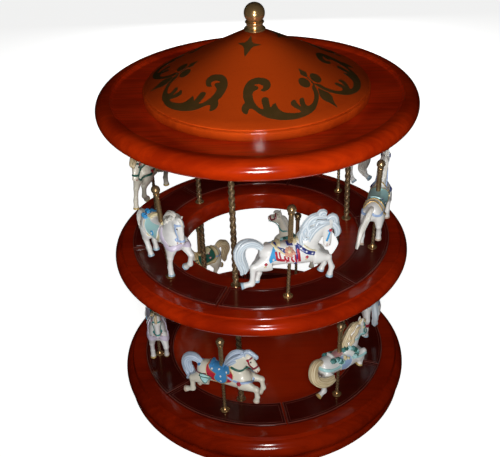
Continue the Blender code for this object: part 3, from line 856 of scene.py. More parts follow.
@dataclass
class Panel:
    """A dark lacquered panel: a sixth of a ring with a bead along its edges and a scribed line inside them.

    The bead's rows are shares: of its width, inwards from the edge, and of the panel's thickness.
    """

    outer: float = 0.1466
    inner: float = 0.1125
    split: float = 0.0016
    bead_width: float = 0.0011
    line_inset: float = 0.0033
    line_width: float = 0.0005
    line_depth: float = 0.00035
    arc_points: int = 40
    finish: Finish = DARK_PANEL

    BEAD = ((0.0, 0.0), (0.0, 0.55), (0.15, 0.82), (0.5, 1.0), (1.0, 0.96), (1.4, 0.86), (1.9, 0.84))
    # Rows in the lighter lacquer: the bead's crest (rows 2 and 3) as a painted highlight, and the scribed
    # groove (rows 7 and 8).
    LINE_AND_HIGHLIGHT_ROWS = (2, 3, 7, 8)

    def contour(self, inset: float, height: float) -> list[Point]:
        """The panel's outline, drawn in by an inset.

        Args:
            inset: How far it is drawn in.
            height: Its height.

        Returns:
            Outer arc points, then inner arc points, both counter-clockwise.
        """
        points = []
        for radius in (self.outer - inset, self.inner + inset):
            half_sweep = SIXTH / 2 - math.asin((self.split / 2 + inset) / radius)
            for i in range(self.arc_points + 1):
                angle = half_sweep * (2 * i / self.arc_points - 1)
                points.append((radius * math.cos(angle), radius * math.sin(angle), height))
        return points

    def build(self, node: str, angle: float) -> None:
        """Make one panel.

        Args:
            node: The CAD node that it stands for.
            angle: Where its middle lies.
        """
        low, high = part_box(node)
        thick = high.z - low.z
        steps = [(inwards * self.bead_width, share * thick) for inwards, share in self.BEAD]
        face = steps[-1][1]
        steps += [(self.line_inset, face), (self.line_inset + self.line_width / 2, face - self.line_depth),
                  (self.line_inset + self.line_width, face)]
        rings = [self.contour(inset, height) for inset, height in steps]
        count = self.arc_points + 1
        order = list(range(count)) + list(range(2 * count - 1, count - 1, -1))
        dark: list[Face] = []
        # The bead's crest, a painted highlight, and the scribed groove, partly painted light.
        light: list[Face] = []
        for row in range(len(rings) - 1):
            here, there = row * 2 * count, (row + 1) * 2 * count
            for a, b in zip(order, order[1:] + order[:1]):
                (light if row in self.LINE_AND_HIGHLIGHT_ROWS else dark).append((here + a, here + b, there + b, there + a))
        last = (len(rings) - 1) * 2 * count
        for i in range(self.arc_points):
            dark.append((last + i, last + i + 1, last + count + i + 1, last + count + i))
            dark.append((i + 1, i, count + i, count + i + 1))
        whole = Shape(np.array([point for ring in rings for point in ring]), dark)
        clay = Clay(f"{node}_lacquered")
        clay.add(whole.part(dark), self.finish)
        clay.add(whole.part(light), SCRIBED_LINE_AND_PAINTED_HIGHLIGHT)
        place = Matrix.Translation((0.0, 0.0, low.z)) @ Matrix.Rotation(angle, 4, "Z")
        clay.bake(node, "dark_wood", 40.0, place)


@dataclass
class Rope:
    """A brass rod twisted like a two-strand rope."""

    radius: float
    pitch: float
    strands: int = 2
    sides: int = 26
    step: float = 0.0011

    def shape(self, bottom: float, top: float) -> Shape:
        """Twist the rod.

        Args:
            bottom: Its lower end.
            top: Its upper end.

        Returns:
            The rod.
        """
        count = max(int((top - bottom) / self.step), 2)
        heights = np.linspace(bottom, top, count)
        angle = np.arange(self.sides) * math.tau / self.sides
        turn = math.tau * (heights - bottom) / self.pitch
        lobe = np.abs(np.cos((angle[None, :] - turn[:, None]) * self.strands / 2)) ** 0.8
        radius = self.radius * (0.66 + 0.34 * lobe)
        rings = np.stack([radius * np.cos(angle), radius * np.sin(angle),
                          np.broadcast_to(heights[:, None], radius.shape)], axis=2)[::-1, ::-1]
        deep = (1 - lobe[::-1]) ** 1.3
        return Shape(rings.reshape(-1, 3), skinned(rings), deep.ravel())


@dataclass
class Pillar:
    """A twisted brass pillar between two boards, with a washer at each end."""

    washer_radius: float = 0.0056
    washer: float = 0.0012
    edge: float = 0.0003
    land: float = 0.0014
    rope: Rope = field(default_factory=lambda: Rope(0.0034, 0.0160))

    def build(self, node: str) -> None:
        """Make one pillar.

        Args:
            node: The CAD node that it stands for.
        """
        low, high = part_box(node)
        height = high.z - low.z
        r, t = self.washer_radius, self.washer
        washer = [(0.0, t), (r - self.edge - self.land, t), (r - self.edge, 0.75 * t), (r, 0.4 * t), (r, 0.0),
                  (0.0, 0.0)]
        clay = Clay(f"{node}_brass")
        clay.add(turned(washer, 28), ANTIQUE_BRASS)
        clay.add(turned([(radius, height - drop) for radius, drop in reversed(washer)], 28), ANTIQUE_BRASS)
        clay.add(self.rope.shape(0.5 * t, height - 0.5 * t), ANTIQUE_BRASS)
        place = Matrix.Translation(((low.x + high.x) / 2, (low.y + high.y) / 2, low.z))
        clay.bake(node, "brass", 35.0, place)


@dataclass
class Pole:
    """A horse's brass pole: domed flange, thin twisted lower part, plain upper part and a ball.

    The collar's rows are (radius, drop below the ball), the flange's (radius, height).
    """

    upper_radius: float = 0.0026
    change: float = 0.0520
    ball_radius: float = 0.0047
    flange_radius: float = 0.0052
    rope: Rope = field(default_factory=lambda: Rope(0.0020, 0.0085, 2, 16, 0.0008))

    COLLAR = ((0.0034, -0.0001), (0.0036, 0.0007), (0.0033, 0.0014))
    NECKING = 0.0019
    FLANGE = ((0.0, 0.0046), (0.0022, 0.0044), (0.0029, 0.0036), (0.0033, 0.0022), (0.0044, 0.0017))
    FLANGE_EDGE = 0.0012

    def build(self, node: str, place: Matrix) -> None:
        """Make one pole.

        Args:
            node: The CAD node that it stands for.
            place: Where its foot stands, with its lean.
        """
        low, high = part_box(node)
        height = high.z - low.z
        centre = height - self.ball_radius
        ball = arc((0.0, centre), self.ball_radius, 90.0, -58.0, 14)
        ball[0] = (0.0, height)
        neck = centre - self.ball_radius
        upper = ball + [(radius, neck - drop) for radius, drop in self.COLLAR]
        upper += [(self.upper_radius, neck - self.NECKING), (self.upper_radius, self.change),
                  (0.0, self.change)]
        r = self.flange_radius
        flange = [*self.FLANGE, (r, self.FLANGE_EDGE), (r, 0.0), (0.0, 0.0)]
        clay = Clay(f"{node}_brass")
        clay.add(turned(upper, 28), ANTIQUE_BRASS)
        clay.add(turned(flange, 28), BRIGHT_BRASS)
        clay.add(self.rope.shape(0.003, self.change + 0.001), ANTIQUE_BRASS)
        clay.bake(node, "brass", 38.0, place)


@dataclass
class Finial:
    """The brass ball on its stepped collar, on top of the cone."""

    node: str = "finial"
    ball_radius: float = 0.0106
    collar_height: float = 0.0085

    def build(self) -> None:
        """Turn the finial and dress it."""
        low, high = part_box(self.node)
        top = high.z - low.z
        collar = high.x
        h = self.collar_height
        profile = arc((0.0, top - self.ball_radius), self.ball_radius, 90.0, -46.0, 20)
        profile[0] = (0.0, top)
        profile += [(0.0070, h + 0.0012), (0.0072, h + 0.0004), (0.0094, h), (0.0097, h - 0.0008),
                    (0.0086, h - 0.0020), (0.0082, 0.5 * h), (0.0088, 0.30 * h), (collar - 0.0005, 0.22 * h),
                    (collar, 0.15 * h), (collar, 0.0), (0.0, 0.0)]
        clay = Clay("finial_brass")
        clay.add(turned(profile, 64), BRIGHT_BRASS)
        place = Matrix.Translation((0.0, 0.0, low.z))
        clay.bake(self.node, "brass", 30.0, place)


@dataclass
class Cone:
    """The roof's cone on its pedestal ring, stencilled with stars, scrolls and buds.

    Stencils are drawn as (degrees from a star's axis, percent of the way down the slope). Of the star, the
    bud and the pendant only the half from the top to the foot is given, with degrees from its own axis.
    """

    node: str = "roof_cone"
    rim_radius: float = 0.1160
    top_radius: float = 0.0100
    pedestal_height: float = 0.0090
    rim_height: float = 0.0026
    fillet: float = 0.0010
    star_angle: float = math.radians(-106.0)
    steps: int = 200
    edge: float = 0.0012
    paint: float = 0.00008
    slope_heights: Spot = (0.0, 0.0)

    STENCIL_CELL = (2.5, 20)
    BUD_AXIS = 60.0

    STAR = ((0, 2), (7, 9.2), (12, 11.5), (30, 13.3), (12, 15.2), (7, 17.6), (0, 26.5))
    SCROLL_OUTER = ((18.8, 61.8), (21.5, 63), (24.5, 61.5), (26.8, 58.5), (27.5, 55), (26.5, 52), (24, 50),
                    (20, 48.7), (16.5, 48.3), (12.5, 49.7), (9.5, 52), (7.5, 55.5), (6.5, 60), (6.6, 65),
                    (7.3, 70), (8.6, 73.8), (7.6, 76.5), (7.2, 79), (7.6, 82.5), (9.5, 85.3), (10.8, 85),
                    (11.2, 82), (12, 80), (13.5, 80.5), (15, 82), (17, 85), (20, 88.5), (24, 91.2),
                    (28, 93), (33, 94), (37, 94), (40.8, 93), (44.4, 91.5), (48, 88.8), (50.7, 85.5),
                    (53.4, 82), (55.7, 78.5), (57.5, 75), (59.1, 70), (59.9, 66))
    SCROLL_INNER = ((56, 69), (54.8, 73), (53, 77), (50.7, 80.5), (48.5, 83), (46.7, 84), (44.9, 83.8),
                    (44.4, 82), (44.9, 79), (45.5, 76.2), (44.4, 75), (42.4, 76.5), (41.4, 80), (41.1, 83),
                    (40.4, 81.5), (39.9, 78), (39.5, 75.2), (36.6, 76.8), (36.1, 80), (37.5, 83.5),
                    (39.6, 87.2), (38.5, 88.5), (35, 88), (31.5, 86.5), (29.5, 84.5), (28, 81), (27.5, 78),
                    (27, 75.6), (25, 77.5), (23.6, 79.2), (23.6, 73), (23.4, 70.2), (21.3, 68.8),
                    (19.3, 70), (19, 74), (19.6, 80.5), (18, 80), (16.2, 77.5), (14.6, 73.5), (13.7, 70),
                    (13.3, 66), (13.8, 63), (15.5, 61.5), (17.2, 60), (17.3, 58), (15.2, 56.6),
                    (14.5, 55.6), (17.5, 55.2), (19.5, 55.8), (20.8, 57), (21.3, 58.5), (20.5, 60))
    BUD = ((0, 47), (1.6, 50), (3.2, 53), (1.8, 55.8), (0.5, 58.2), (0.7, 65), (0, 67))
    PENDANT = ((0, 71.5), (1.8, 74.5), (3.8, 80), (3.4, 84), (2.1, 87), (1, 90.5), (0, 95))
    BLOB = (53.9, 61.8, 4.5, 5.5)

    def lay(self, degrees: float, percent: float) -> tuple[Vector, Vector]:
        """A point on the cone's slope.

        Args:
            degrees: Angle from the first star's axis.
            percent: How far down the slope it is.

        Returns:
            The point and the slope's outward normal.
        """
        top, foot = self.slope_heights
        share = percent / 100
        angle = self.star_angle + math.radians(degrees)
        radius = self.top_radius + (self.rim_radius - self.top_radius) * share
        out = Vector((math.cos(angle), math.sin(angle), 0.0))
        normal = (out * (top - foot) + Vector((0, 0, self.rim_radius - self.top_radius))).normalized()
        return out * radius + Vector((0, 0, top + (foot - top) * share)), normal

    def stencils(self) -> Iterable[list[Spot]]:
        """Outlines of the stencils between one star's axis and the next.

        Returns:
            Their outlines on the cone.
        """
        yield mirrored(self.STAR, 0.0)
        scroll = rounded(self.SCROLL_OUTER + self.SCROLL_INNER, 300)
        centre, level, wide, tall = self.BLOB
        blob = [(centre + x * wide, level + y * tall) for x, y in arc((0.0, 0.0), 1.0, 0.0, 345.0, 23)]
        for shape in (scroll, blob):
            yield shape
            yield [(2 * self.BUD_AXIS - degrees, share) for degrees, share in reversed(shape)]
        for half in (self.BUD, self.PENDANT):
            yield rounded(mirrored(half, self.BUD_AXIS), 48)

    def build(self) -> None:
        """Turn the cone, lay its stencils on it and dress both."""
        low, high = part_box(self.node)
        shoulder = low.z + self.pedestal_height
        foot = shoulder + self.rim_height
        self.slope_heights = (high.z, foot)
        edge, rim = self.edge, self.rim_radius
        profile = [(0.0, high.z)]
        slope_steps = 12
        for step in range(slope_steps):
            share = step / slope_steps
            radius = self.top_radius + (rim - self.top_radius) * share
            profile.append((radius, high.z + (foot - high.z) * share))
        profile += [(rim - edge, foot + 0.45 * edge), (rim, foot - self.fillet)]
        pedestal = [profile[-1], (rim, shoulder + 0.4 * self.fillet), (rim + self.fillet, shoulder)]
        pedestal += arc((high.x - edge, shoulder - edge - 0.2 * self.fillet), edge, 90.0, 0.0, 5)
        pedestal += [(high.x, low.z), (0.0, low.z)]
        clay = Clay("roof_cone_stencilled")
        stain = Satin("cone_satin", (0.530, 0.057, 0.0044), (0.265, 0.022, 0.0022), foot, high.z)
        clay.add(turned(profile, self.steps), stain)
        # The pedestal's brighter lacquer is partly a lighter stain, partly painted light.
        clay.add(turned(pedestal, self.steps), PEDESTAL_STAIN_AND_LIGHT)
        for outline in self.stencils():
            if area_of(outline) < 0:
                outline = outline[::-1]
            for repeat in range(3):
                moved = [(degrees + 120.0 * repeat, share) for degrees, share in outline]
                clay.add(laid(moved, self.STENCIL_CELL, self.lay, self.paint, self.paint), STENCIL)
        clay.bake(self.node, "cone_wood", 30.0)


def area_of(outline: Sequence[Spot]) -> float:
    """Signed area of a flat outline, above 0 where it runs counter-clockwise."""
    return sum(a[0] * b[1] - b[0] * a[1] for a, b in zip(outline, list(outline[1:]) + [outline[0]])) / 2


def mirrored(half: Sequence[Spot], axis: float) -> list[Spot]:
    """A whole outline from its half, which starts and ends on the axis."""
    return [(axis + u, v) for u, v in half] + [(axis - u, v) for u, v in half[-2:0:-1]]


class Hair(Enum):
    """Ways a mane falls: locks over the crest, then locks on each side.

    A lock is rows of place along the neck (0 shoulder, 1 poll), rise and size.
    """

    CURLED = (
        (((1.05, 4, 2.4), (0.93, 10, 3.2), (0.76, 14.2, 3.6), (0.56, 14, 3.6), (0.36, 11.6, 3.4),
          (0.18, 8, 2.6), (0.08, 5, 1.4)),
         ((0.94, 7, 3), (0.98, 9.6, 3.7), (1.04, 10.8, 3.9), (1.1, 9.8, 3.5), (1.12, 7.4, 2.8),
          (1.09, 5.4, 1.4))),
        (((1.04, 2.5, 2.2), (0.97, 7.5, 2.9), (0.86, 11.6, 3.3), (0.71, 13.4, 3.4), (0.58, 11.8, 3.3),
          (0.51, 8.2, 2.7), (0.55, 5, 1.2)),
         ((0.78, 8, 2.4), (0.62, 12, 3.1), (0.46, 13.2, 3.4), (0.33, 11.4, 3.2), (0.26, 7.8, 2.5),
          (0.31, 4.6, 1.1)),
         ((0.46, 9.8, 2.4), (0.31, 11.8, 3), (0.18, 10.2, 2.7), (0.1, 7, 1.9), (0.13, 4.6, 0.9)),
         ((1.02, -0.5, 1.7), (0.92, 3.8, 2.5), (0.8, 6.6, 2.7), (0.7, 5.8, 2.1), (0.69, 3.6, 0.9)),
         ((0.66, 5.6, 2.1), (0.53, 8.2, 2.7), (0.41, 7.4, 2.4), (0.39, 4.8, 1)),
         ((1, -2, 1.7), (0.88, 1.4, 2.5), (0.72, 3.2, 2.8), (0.54, 4.4, 2.7), (0.38, 4.2, 2.2),
          (0.26, 2.4, 1))))
    SWEPT = (
        (((1.05, 3.4, 2.2), (0.9, 8, 2.9), (0.7, 10.4, 3.2), (0.48, 11.2, 3.3), (0.28, 11.2, 3),
          (0.12, 10.2, 2.3), (0.02, 9, 1.1)),),
        (((1.03, 2.4, 2), (0.88, 4.8, 2.5), (0.68, 6.4, 2.7), (0.48, 8, 2.7), (0.3, 9.6, 2.2),
          (0.18, 10.2, 1)),
         ((1.04, 4.4, 2.2), (0.86, 8, 2.7), (0.66, 9.6, 3), (0.44, 10.8, 3), (0.24, 11.4, 2.4),
          (0.08, 10.6, 1.1)),
         ((0.62, 3.4, 1.6), (0.48, 5.2, 2.3), (0.34, 7.4, 2.2), (0.22, 8.6, 1))))
    CROPPED = (
        (((1.02, 2, 1.6), (0.82, 5.2, 2), (0.58, 6.6, 2.2), (0.34, 8, 2.2), (0.12, 8.6, 1.3)),),
        (((1, 2.6, 1.4), (0.84, 4.2, 1.8), (0.66, 4.4, 1.9), (0.46, 6, 1.9), (0.3, 7, 1)),))
    RIPPLED = (
        (((1.04, 2.4, 2), (0.9, 7, 2.7), (0.7, 9.6, 3), (0.5, 10.6, 3.1), (0.3, 11.2, 3),
          (0.14, 10.8, 2.3), (0.02, 9.6, 1.1)),),
        (((1.03, 3.6, 1.9), (0.9, 7.2, 2.4), (0.76, 7.6, 2.6), (0.62, 9.4, 2.7), (0.48, 8.8, 2.7),
          (0.34, 10.4, 2.6), (0.2, 9.8, 2.2), (0.08, 10.4, 1)),
         ((0.96, 2, 1.6), (0.84, 4.2, 2.2), (0.72, 4, 2.4), (0.58, 5.8, 2.5), (0.44, 5.2, 2.4),
          (0.32, 6.8, 2), (0.24, 6, 0.9))))


class Forelock(Enum):
    """Ways a forelock falls. A lobe is rows of place down the head, rise off its line, offset and size."""

    FULL = (
        ((-0.5, -1, 1.6, 2.6), (-3.6, 2.4, 1.8, 3.4), (-2.6, 6, 1.8, 3.7), (1.6, 8, 1.6, 3.4),
         (4.4, 7, 1.4, 1.8)),
        ((-1, 3, -1.8, 2.6), (2, 7, -2, 3.5), (6.5, 9.2, -2, 3.8), (10.6, 9.2, -1.8, 3.4),
         (13.4, 7.2, -1.6, 1.8)),
        ((4, 4, 0.4, 2.8), (8, 7.8, 0.6, 3.6), (13, 10.2, 0.6, 3.9), (18, 10.4, 0.4, 3.5),
         (21.4, 8.4, 0.2, 1.8)))
    FORWARD = (
        ((-1, -1, 1.2, 2.2), (-5, 3, 1.4, 2.9), (-4, 7, 1.4, 3), (0.5, 9.4, 1.2, 2.8), (4.5, 11.2, 1, 2.3),
         (7, 10.2, 0.8, 1.1)),
        ((0, 3, -1.2, 2.2), (2, 7, -1.2, 2.8), (6, 8.4, -1, 2.4), (8.6, 7.4, -0.8, 1.1)))
    SHORT = (
        ((-0.5, -1, 0.8, 1.8), (-3, 3, 1, 2.3), (-1, 6.4, 1, 2.3), (3, 7.4, 0.8, 1.9), (5.5, 6.4, 0.6, 0.9)),)


@dataclass(frozen=True)
class Gait:
    """Where a horse's joints are, in millimetres.

    The neck's points are (x, z), from the shoulder to the poll. A leg is its top, knee or hock, fetlock and
    toe, as (x, y, z). Legs come near fore, far fore, near hind, far hind. A slim value under 1 thins the neck
    and the tail.
    """

    height: float
    pitch: float
    shift: float
    neck: tuple[Spot, ...]
    muzzle: Spot
    tail: tuple[Point, ...]
    legs: tuple[tuple[Point, ...], ...]
    hair: Hair
    forelock: Forelock = Forelock.SHORT
    slim: float = 1.0


class Gaits(Enum):
    """The six gaits that the twelve horses show."""

    LEAPING = Gait(
        53.8, 0.0, -1.0, ((13, 59), (21, 69), (28, 79), (36, 86.5)), (38, 56),
        ((-28, 0, 63), (-34, 0, 68.5), (-41, 0, 71.5), (-47.5, 0, 70), (-51, 0, 64), (-51, 0, 56),
         (-48.5, 0, 48), (-46.5, 0, 41), (-47.5, 0, 36)),
        (((23, -6, 49), (38, -8, 47), (42, -8, 35), (40, -8, 24)),
         ((23, 6, 49), (40, 8, 41), (39, 8, 30), (35.5, 8, 21)),
         ((-21, -6.5, 51), (-38.5, -8, 47), (-39.5, -8, 28.5), (-50.5, -8, 27)),
         ((-21, 6.5, 50), (-33, 8, 39), (-29, 8, 29), (-32, 8, 19))), Hair.CURLED, Forelock.FULL)
    PRANCING = Gait(
        55.0, 2.0, 2.5, ((14, 61), (18, 72), (23, 81), (29, 87.5)), (42, 69.5),
        ((-24, 0, 63), (-29, 0, 68.5), (-35, 0, 70), (-41, 0, 66), (-42, 0, 58), (-39.5, 0, 49), (-37, 0, 41),
         (-42, 0, 36.5)),
        (((23, -6, 53), (42.5, -8, 50), (43.5, -8, 40), (42, -8, 33)),
         ((23, 6, 54), (43, 8, 51.5), (44.5, 8, 40), (40, 8, 32)),
         ((-16, -6.5, 51), (-33, -8, 46), (-33.5, -8, 30.5), (-43, -8, 27)),
         ((-17, 6.5, 51), (-25, 8, 41), (-27, 8, 30), (-33, 8, 25))), Hair.SWEPT, Forelock.FORWARD)
    CURVETTING = Gait(
        51.0, -3.0, 0.0, ((14, 58), (18, 69), (22, 79), (28.5, 86.5)), (40, 66),
        ((-27, 0, 62), (-33, 0, 66), (-39, -1, 64), (-43, -4, 57), (-42, -8, 51), (-36, -12, 47),
         (-28, -14, 46), (-20, -14, 46)),
        (((22, -6, 46), (32, -8, 52), (28.5, -8, 43), (25.5, -8, 35)),
         ((22, 6, 44), (41, 8, 38), (38, 8, 29), (35, 8, 23)),
         ((-20, -6.5, 49), (-30, -8, 41), (-29, -8, 28), (-38, -8, 25)),
         ((-19, 6.5, 48), (-20, 8, 36), (-17, 8, 27), (-15, 8, 18))), Hair.RIPPLED)
    WALKING = Gait(
        53.0, 0.0, 0.0, ((14, 59), (20, 69), (25, 76), (30, 80.5)), (32, 53),
        ((-27, 0, 62), (-33, 0, 63), (-38, 0, 57), (-40, 0, 48), (-38, 0, 39), (-36, 0, 30)),
        (((21, -6, 50), (18, -8, 32), (15, -8, 19), (15, -8, 9)),
         ((22, 6, 50), (33, 8, 36), (29, 8, 23), (19, 8, 14)),
         ((-19, -6.5, 50), (-23, -8, 38), (-20, -8, 27), (-18, -8, 18)),
         ((-20, 6.5, 50), (-35, 8, 38), (-33, 8, 23), (-32, 8, 12))), Hair.RIPPLED, Forelock.SHORT, 0.86)
    STRIDING = Gait(
        54.0, 6.0, 0.0, ((13, 60), (17, 73), (20, 85), (25, 94)), (40, 88),
        ((-27, 0, 60), (-33, 1, 60), (-37, 3, 52), (-38, 6, 43), (-40, 8, 35), (-44, 9, 27), (-47, 10, 20)),
        (((22, -6, 52), (32, -8, 38), (30, -8, 25), (32, -8, 16)),
         ((22, 6, 53), (41, 8, 52), (46, 8, 41), (45, 8, 32)),
         ((-19, -6.5, 50), (-24, -8, 37), (-20, -8, 27), (-19, -8, 18)),
         ((-20, 6.5, 50), (-33, 7, 41), (-36, 7, 30), (-41, 7, 22))), Hair.CROPPED, Forelock.SHORT, 0.8)
    REACHING = Gait(
        54.0, 1.0, 0.0, ((14, 59), (22, 67), (29, 73), (35, 77)), (44, 55),
        ((-27, 0, 62), (-34, 0, 66), (-41, 0, 62), (-43, 0, 53), (-41, 0, 44), (-43, 0, 36)),
        (((22, -6, 50), (29, -8, 35), (33, -8, 22), (34, -8, 12)),
         ((22, 6, 52), (40, 8, 47), (42, 8, 36), (36, 8, 29)),
         ((-19, -6.5, 50), (-33, -8, 41), (-33, -8, 28), (-42, -8, 24)),
         ((-20, 6.5, 50), (-21, 8, 37), (-17, 8, 28), (-18, 8, 18))), Hair.SWEPT, Forelock.FORWARD)


class Dress(Enum):
    """Kinds of saddle and blanket."""

    STRIPED = 1
    LOBED = 2
    GARLAND = 3
    DRAPED = 4
    TRIMMED = 5


@dataclass(frozen=True)
class Livery:
    """The colours of one horse and what it wears; a band goes round its far hind cannon."""

    dress: Dress
    coat: Finish
    mane: Finish
    hoof: Finish
    saddle: Finish
    cloth: Finish
    trim: Finish
    strap: Finish
    bridle: Finish
    flower: Finish
    band: Finish | None = None


@dataclass
class Axis:
    """A straight line inside a limb, from which places on the limb's skin are found."""

    start: Vector
    ahead: Vector
    length: float
    reach: float = 26.0

    @classmethod
    def through(cls, first: Spot, last: Spot, reach: float) -> "Axis":
        """The axis between two (x, z) points, whose rays towards the skin start some way out."""
        start, end = (Vector((x, 0.0, z)) for x, z in (first, last))
        return cls(start, (end - start).normalized(), (end - start).length, reach)

    def ray(self, along: float, degrees: float) -> tuple[Vector, Vector]:
        """A ray that leaves the axis sideways.

        Args:
            along: Distance from the axis's start.
            degrees: Angle from its upper side, below 0 towards the near side.

        Returns:
            The point on the axis and the ray's direction.
        """
        upper = Vector((-self.ahead.z, 0.0, self.ahead.x))
        angle = math.radians(degrees)
        return self.start + self.ahead * along, upper * math.cos(angle) + Vector((0, 1, 0)) * math.sin(angle)


Stop = tuple[Axis, float, float]


@dataclass
class HorseBody:
    """The bare porcelain body of one horse: trunk, neck, head and legs fused into one skin.

    A row of a limb holds a place along it, half its depth and half its width. The trunk's and the head's have
    a rise off the axis before these. The places run from 0 to 3 down a leg and from 0 to 1 down the head.
    """

    gait: Gait

    NECK_STEPS = 30
    NECK_REACH = 18.0
    HEAD_REACH = 8.0
    VOXEL = 0.95
    RELAX_STEPS = 5
    CLOTH_CELL = (1.7, 9)
    TRUNK = ((-31, 2.2, 2.2, 2.2), (-30, 2.2, 6.5, 5.6), (-26.5, 2.2, 10.4, 8.8), (-20, 1.5, 12.2, 10.4),
             (-12, 0.6, 11.4, 10), (-3, 0, 11.1, 9.8), (6, -0.5, 11.8, 10.2), (15, -0.4, 13, 10.6),
             (22.5, 0.4, 12.8, 10), (28, 1.2, 9.6, 7.8), (31, 1.8, 5, 4.6), (32, 2, 2, 2))
    NECK = ((12.4, 8.2), (10.6, 6.9), (8.4, 5.7), (6.2, 4.8))
    HEAD = ((-0.03, -0.6, 3.4, 2.8), (0.04, -0.6, 6.2, 4.5), (0.22, -1.4, 7.4, 5), (0.4, -1, 6.7, 4.6),
            (0.58, 0, 5.2, 3.7), (0.74, 0.3, 4.4, 3.2), (0.88, 0.2, 4.2, 3.3), (0.97, 0, 3.7, 3),
            (1.03, 0, 1.9, 1.8))
    FORE = ((0, 9.6, 5.8), (0.35, 7.4, 5.2), (0.68, 5, 4.2), (0.88, 3.9, 3.5), (1, 4, 3.6),
            (1.16, 3, 2.8), (1.55, 2.7, 2.6), (1.84, 2.9, 2.8), (2, 3.4, 3.2), (2.3, 2.8, 2.8),
            (2.72, 3.1, 3))
    HIND = ((0, 10.4, 6.2), (0.36, 9, 5.8), (0.72, 6, 4.6), (0.9, 4.5, 3.9), (1, 4.4, 3.7),
            (1.18, 3.4, 3.1), (1.55, 2.9, 2.8), (1.84, 3.1, 2.9), (2, 3.5, 3.3), (2.3, 2.9, 2.8),
            (2.72, 3.1, 3))

    def __post_init__(self) -> None:
        """Find the limbs' axes and model the skin."""
        gait = self.gait
        pitch = math.radians(gait.pitch)
        ahead = Vector((math.cos(pitch), 0.0, math.sin(pitch)))
        self.trunk = Axis(Vector((0.0, 0.0, gait.height)), ahead, 34.0)
        self.neck = Axis.through(gait.neck[0], gait.neck[-1], self.NECK_REACH)
        poll = (gait.neck[-1][0] + 1.0, gait.neck[-1][1] + 0.5)
        self.head = Axis.through(poll, gait.muzzle, self.HEAD_REACH)
        self.neck_line = flowing(gait.neck, self.NECK_STEPS + 1)
        self.skin = self.fused()
        self.tree = BVHTree.FromPolygons([Vector(p) for p in self.skin.points.tolist()], self.skin.faces)

    def solids(self) -> list[Shape]:
        """The overlapping lofts that the skin is fused from.

        Returns:
            The closed shapes.
        """
        shift, slim, n = self.gait.shift, self.gait.slim, self.head.length
        trunk = self.along(self.trunk, [(x + shift, *rest) for x, *rest in self.TRUNK])
        neck = [(x, 0.0, z, deep * slim, wide * slim)
                for (x, z), (deep, wide) in zip(self.gait.neck, self.NECK)]
        head = self.along(self.head, [(share * n, *rest) for share, *rest in self.HEAD])
        legs = [self.leg(joints, self.FORE if number < 2 else self.HIND)
                for number, joints in enumerate(self.gait.legs)]
        return [limb(trunk, 28, 40), limb(neck, 24, 24), limb(head, 24, 30)] + legs

    @staticmethod
    def along(axis: Axis, rows: Iterable[Sequence[float]]) -> list[Sequence[float]]:
        """Stations of a loft about an axis.

        Args:
            axis: The axis.
            rows: Rows of place along it, rise off it, half depth and half width.

        Returns:
            Rows of x, y, z, half depth and half width.
        """
        stations = []
        for place, rise, deep, wide in rows:
            middle, upper = axis.ray(place, 0.0)
            stations.append((*(middle + upper * rise), deep, wide))
        return stations

    @staticmethod
    def leg(joints: tuple[Point, ...], flesh: tuple[Point, ...], rings: int = 44) -> Shape:
        """A leg along its joints, or a sleeve on one.

        Args:
            joints: Top, knee or hock, fetlock and toe.
            flesh: Rows of place along the joints, half depth and half width.
            rings: Rings along it.

        Returns:
            The leg down to its hoof, or the sleeve.
        """
        stops = np.array(joints, float)
        rows = []
        for place, deep, wide in flesh:
            first = min(int(place), 2)
            middle = stops[first] + (stops[first + 1] - stops[first]) * (place - first)
            rows.append((*middle, deep, wide))
        return limb(rows, 18, rings)

    def fused(self) -> Shape:
        """The lofts as one even skin.

        Returns:
            The skin.
        """
        mesh = bpy.data.meshes.new("rough_horse")
        points, faces = joined(self.solids())
        mesh.from_pydata(points.tolist(), [], faces)
        rough = bpy.data.objects.new("rough_horse", mesh)
        bpy.context.scene.collection.objects.link(rough)
        fuse = rough.modifiers.new("fuse", "REMESH")
        fuse.mode = "VOXEL"
        fuse.voxel_size = self.VOXEL
        relax = rough.modifiers.new("relax", "SMOOTH")
        relax.factor = 0.5
        relax.iterations = self.RELAX_STEPS
        graph = bpy.context.evaluated_depsgraph_get()
        fine = rough.evaluated_get(graph).to_mesh()
        places = np.empty((len(fine.vertices), 3), np.float32)
        normals = np.empty_like(places)
        edges = np.empty((len(fine.edges), 2), np.int32)
        fine.vertices.foreach_get("co", places.ravel())
        fine.vertex_normals.foreach_get("vector", normals.ravel())
        fine.edges.foreach_get("vertices", edges.ravel())
        faces = [tuple(face.vertices) for face in fine.polygons]
        bpy.data.objects.remove(rough, do_unlink=True)
        return Shape(places.astype(float), faces, hollows(places, normals, edges))

    def spot(self, axis: Axis, along: float, degrees: float) -> tuple[Vector, Vector]:
        """A place on the skin.

        Args:
            axis: The limb's axis.
            along: Distance along it.
            degrees: Angle round it.

        Returns:
            The point and the skin's normal.
        """
        middle, way = axis.ray(along, degrees)
        place, normal, _, _ = self.tree.ray_cast(middle + way * axis.reach, -way, axis.reach)
        if place is None:
            under_the_skin = 5.0
            place, normal, _, _ = self.tree.find_nearest(middle + way * under_the_skin)
        return place, normal

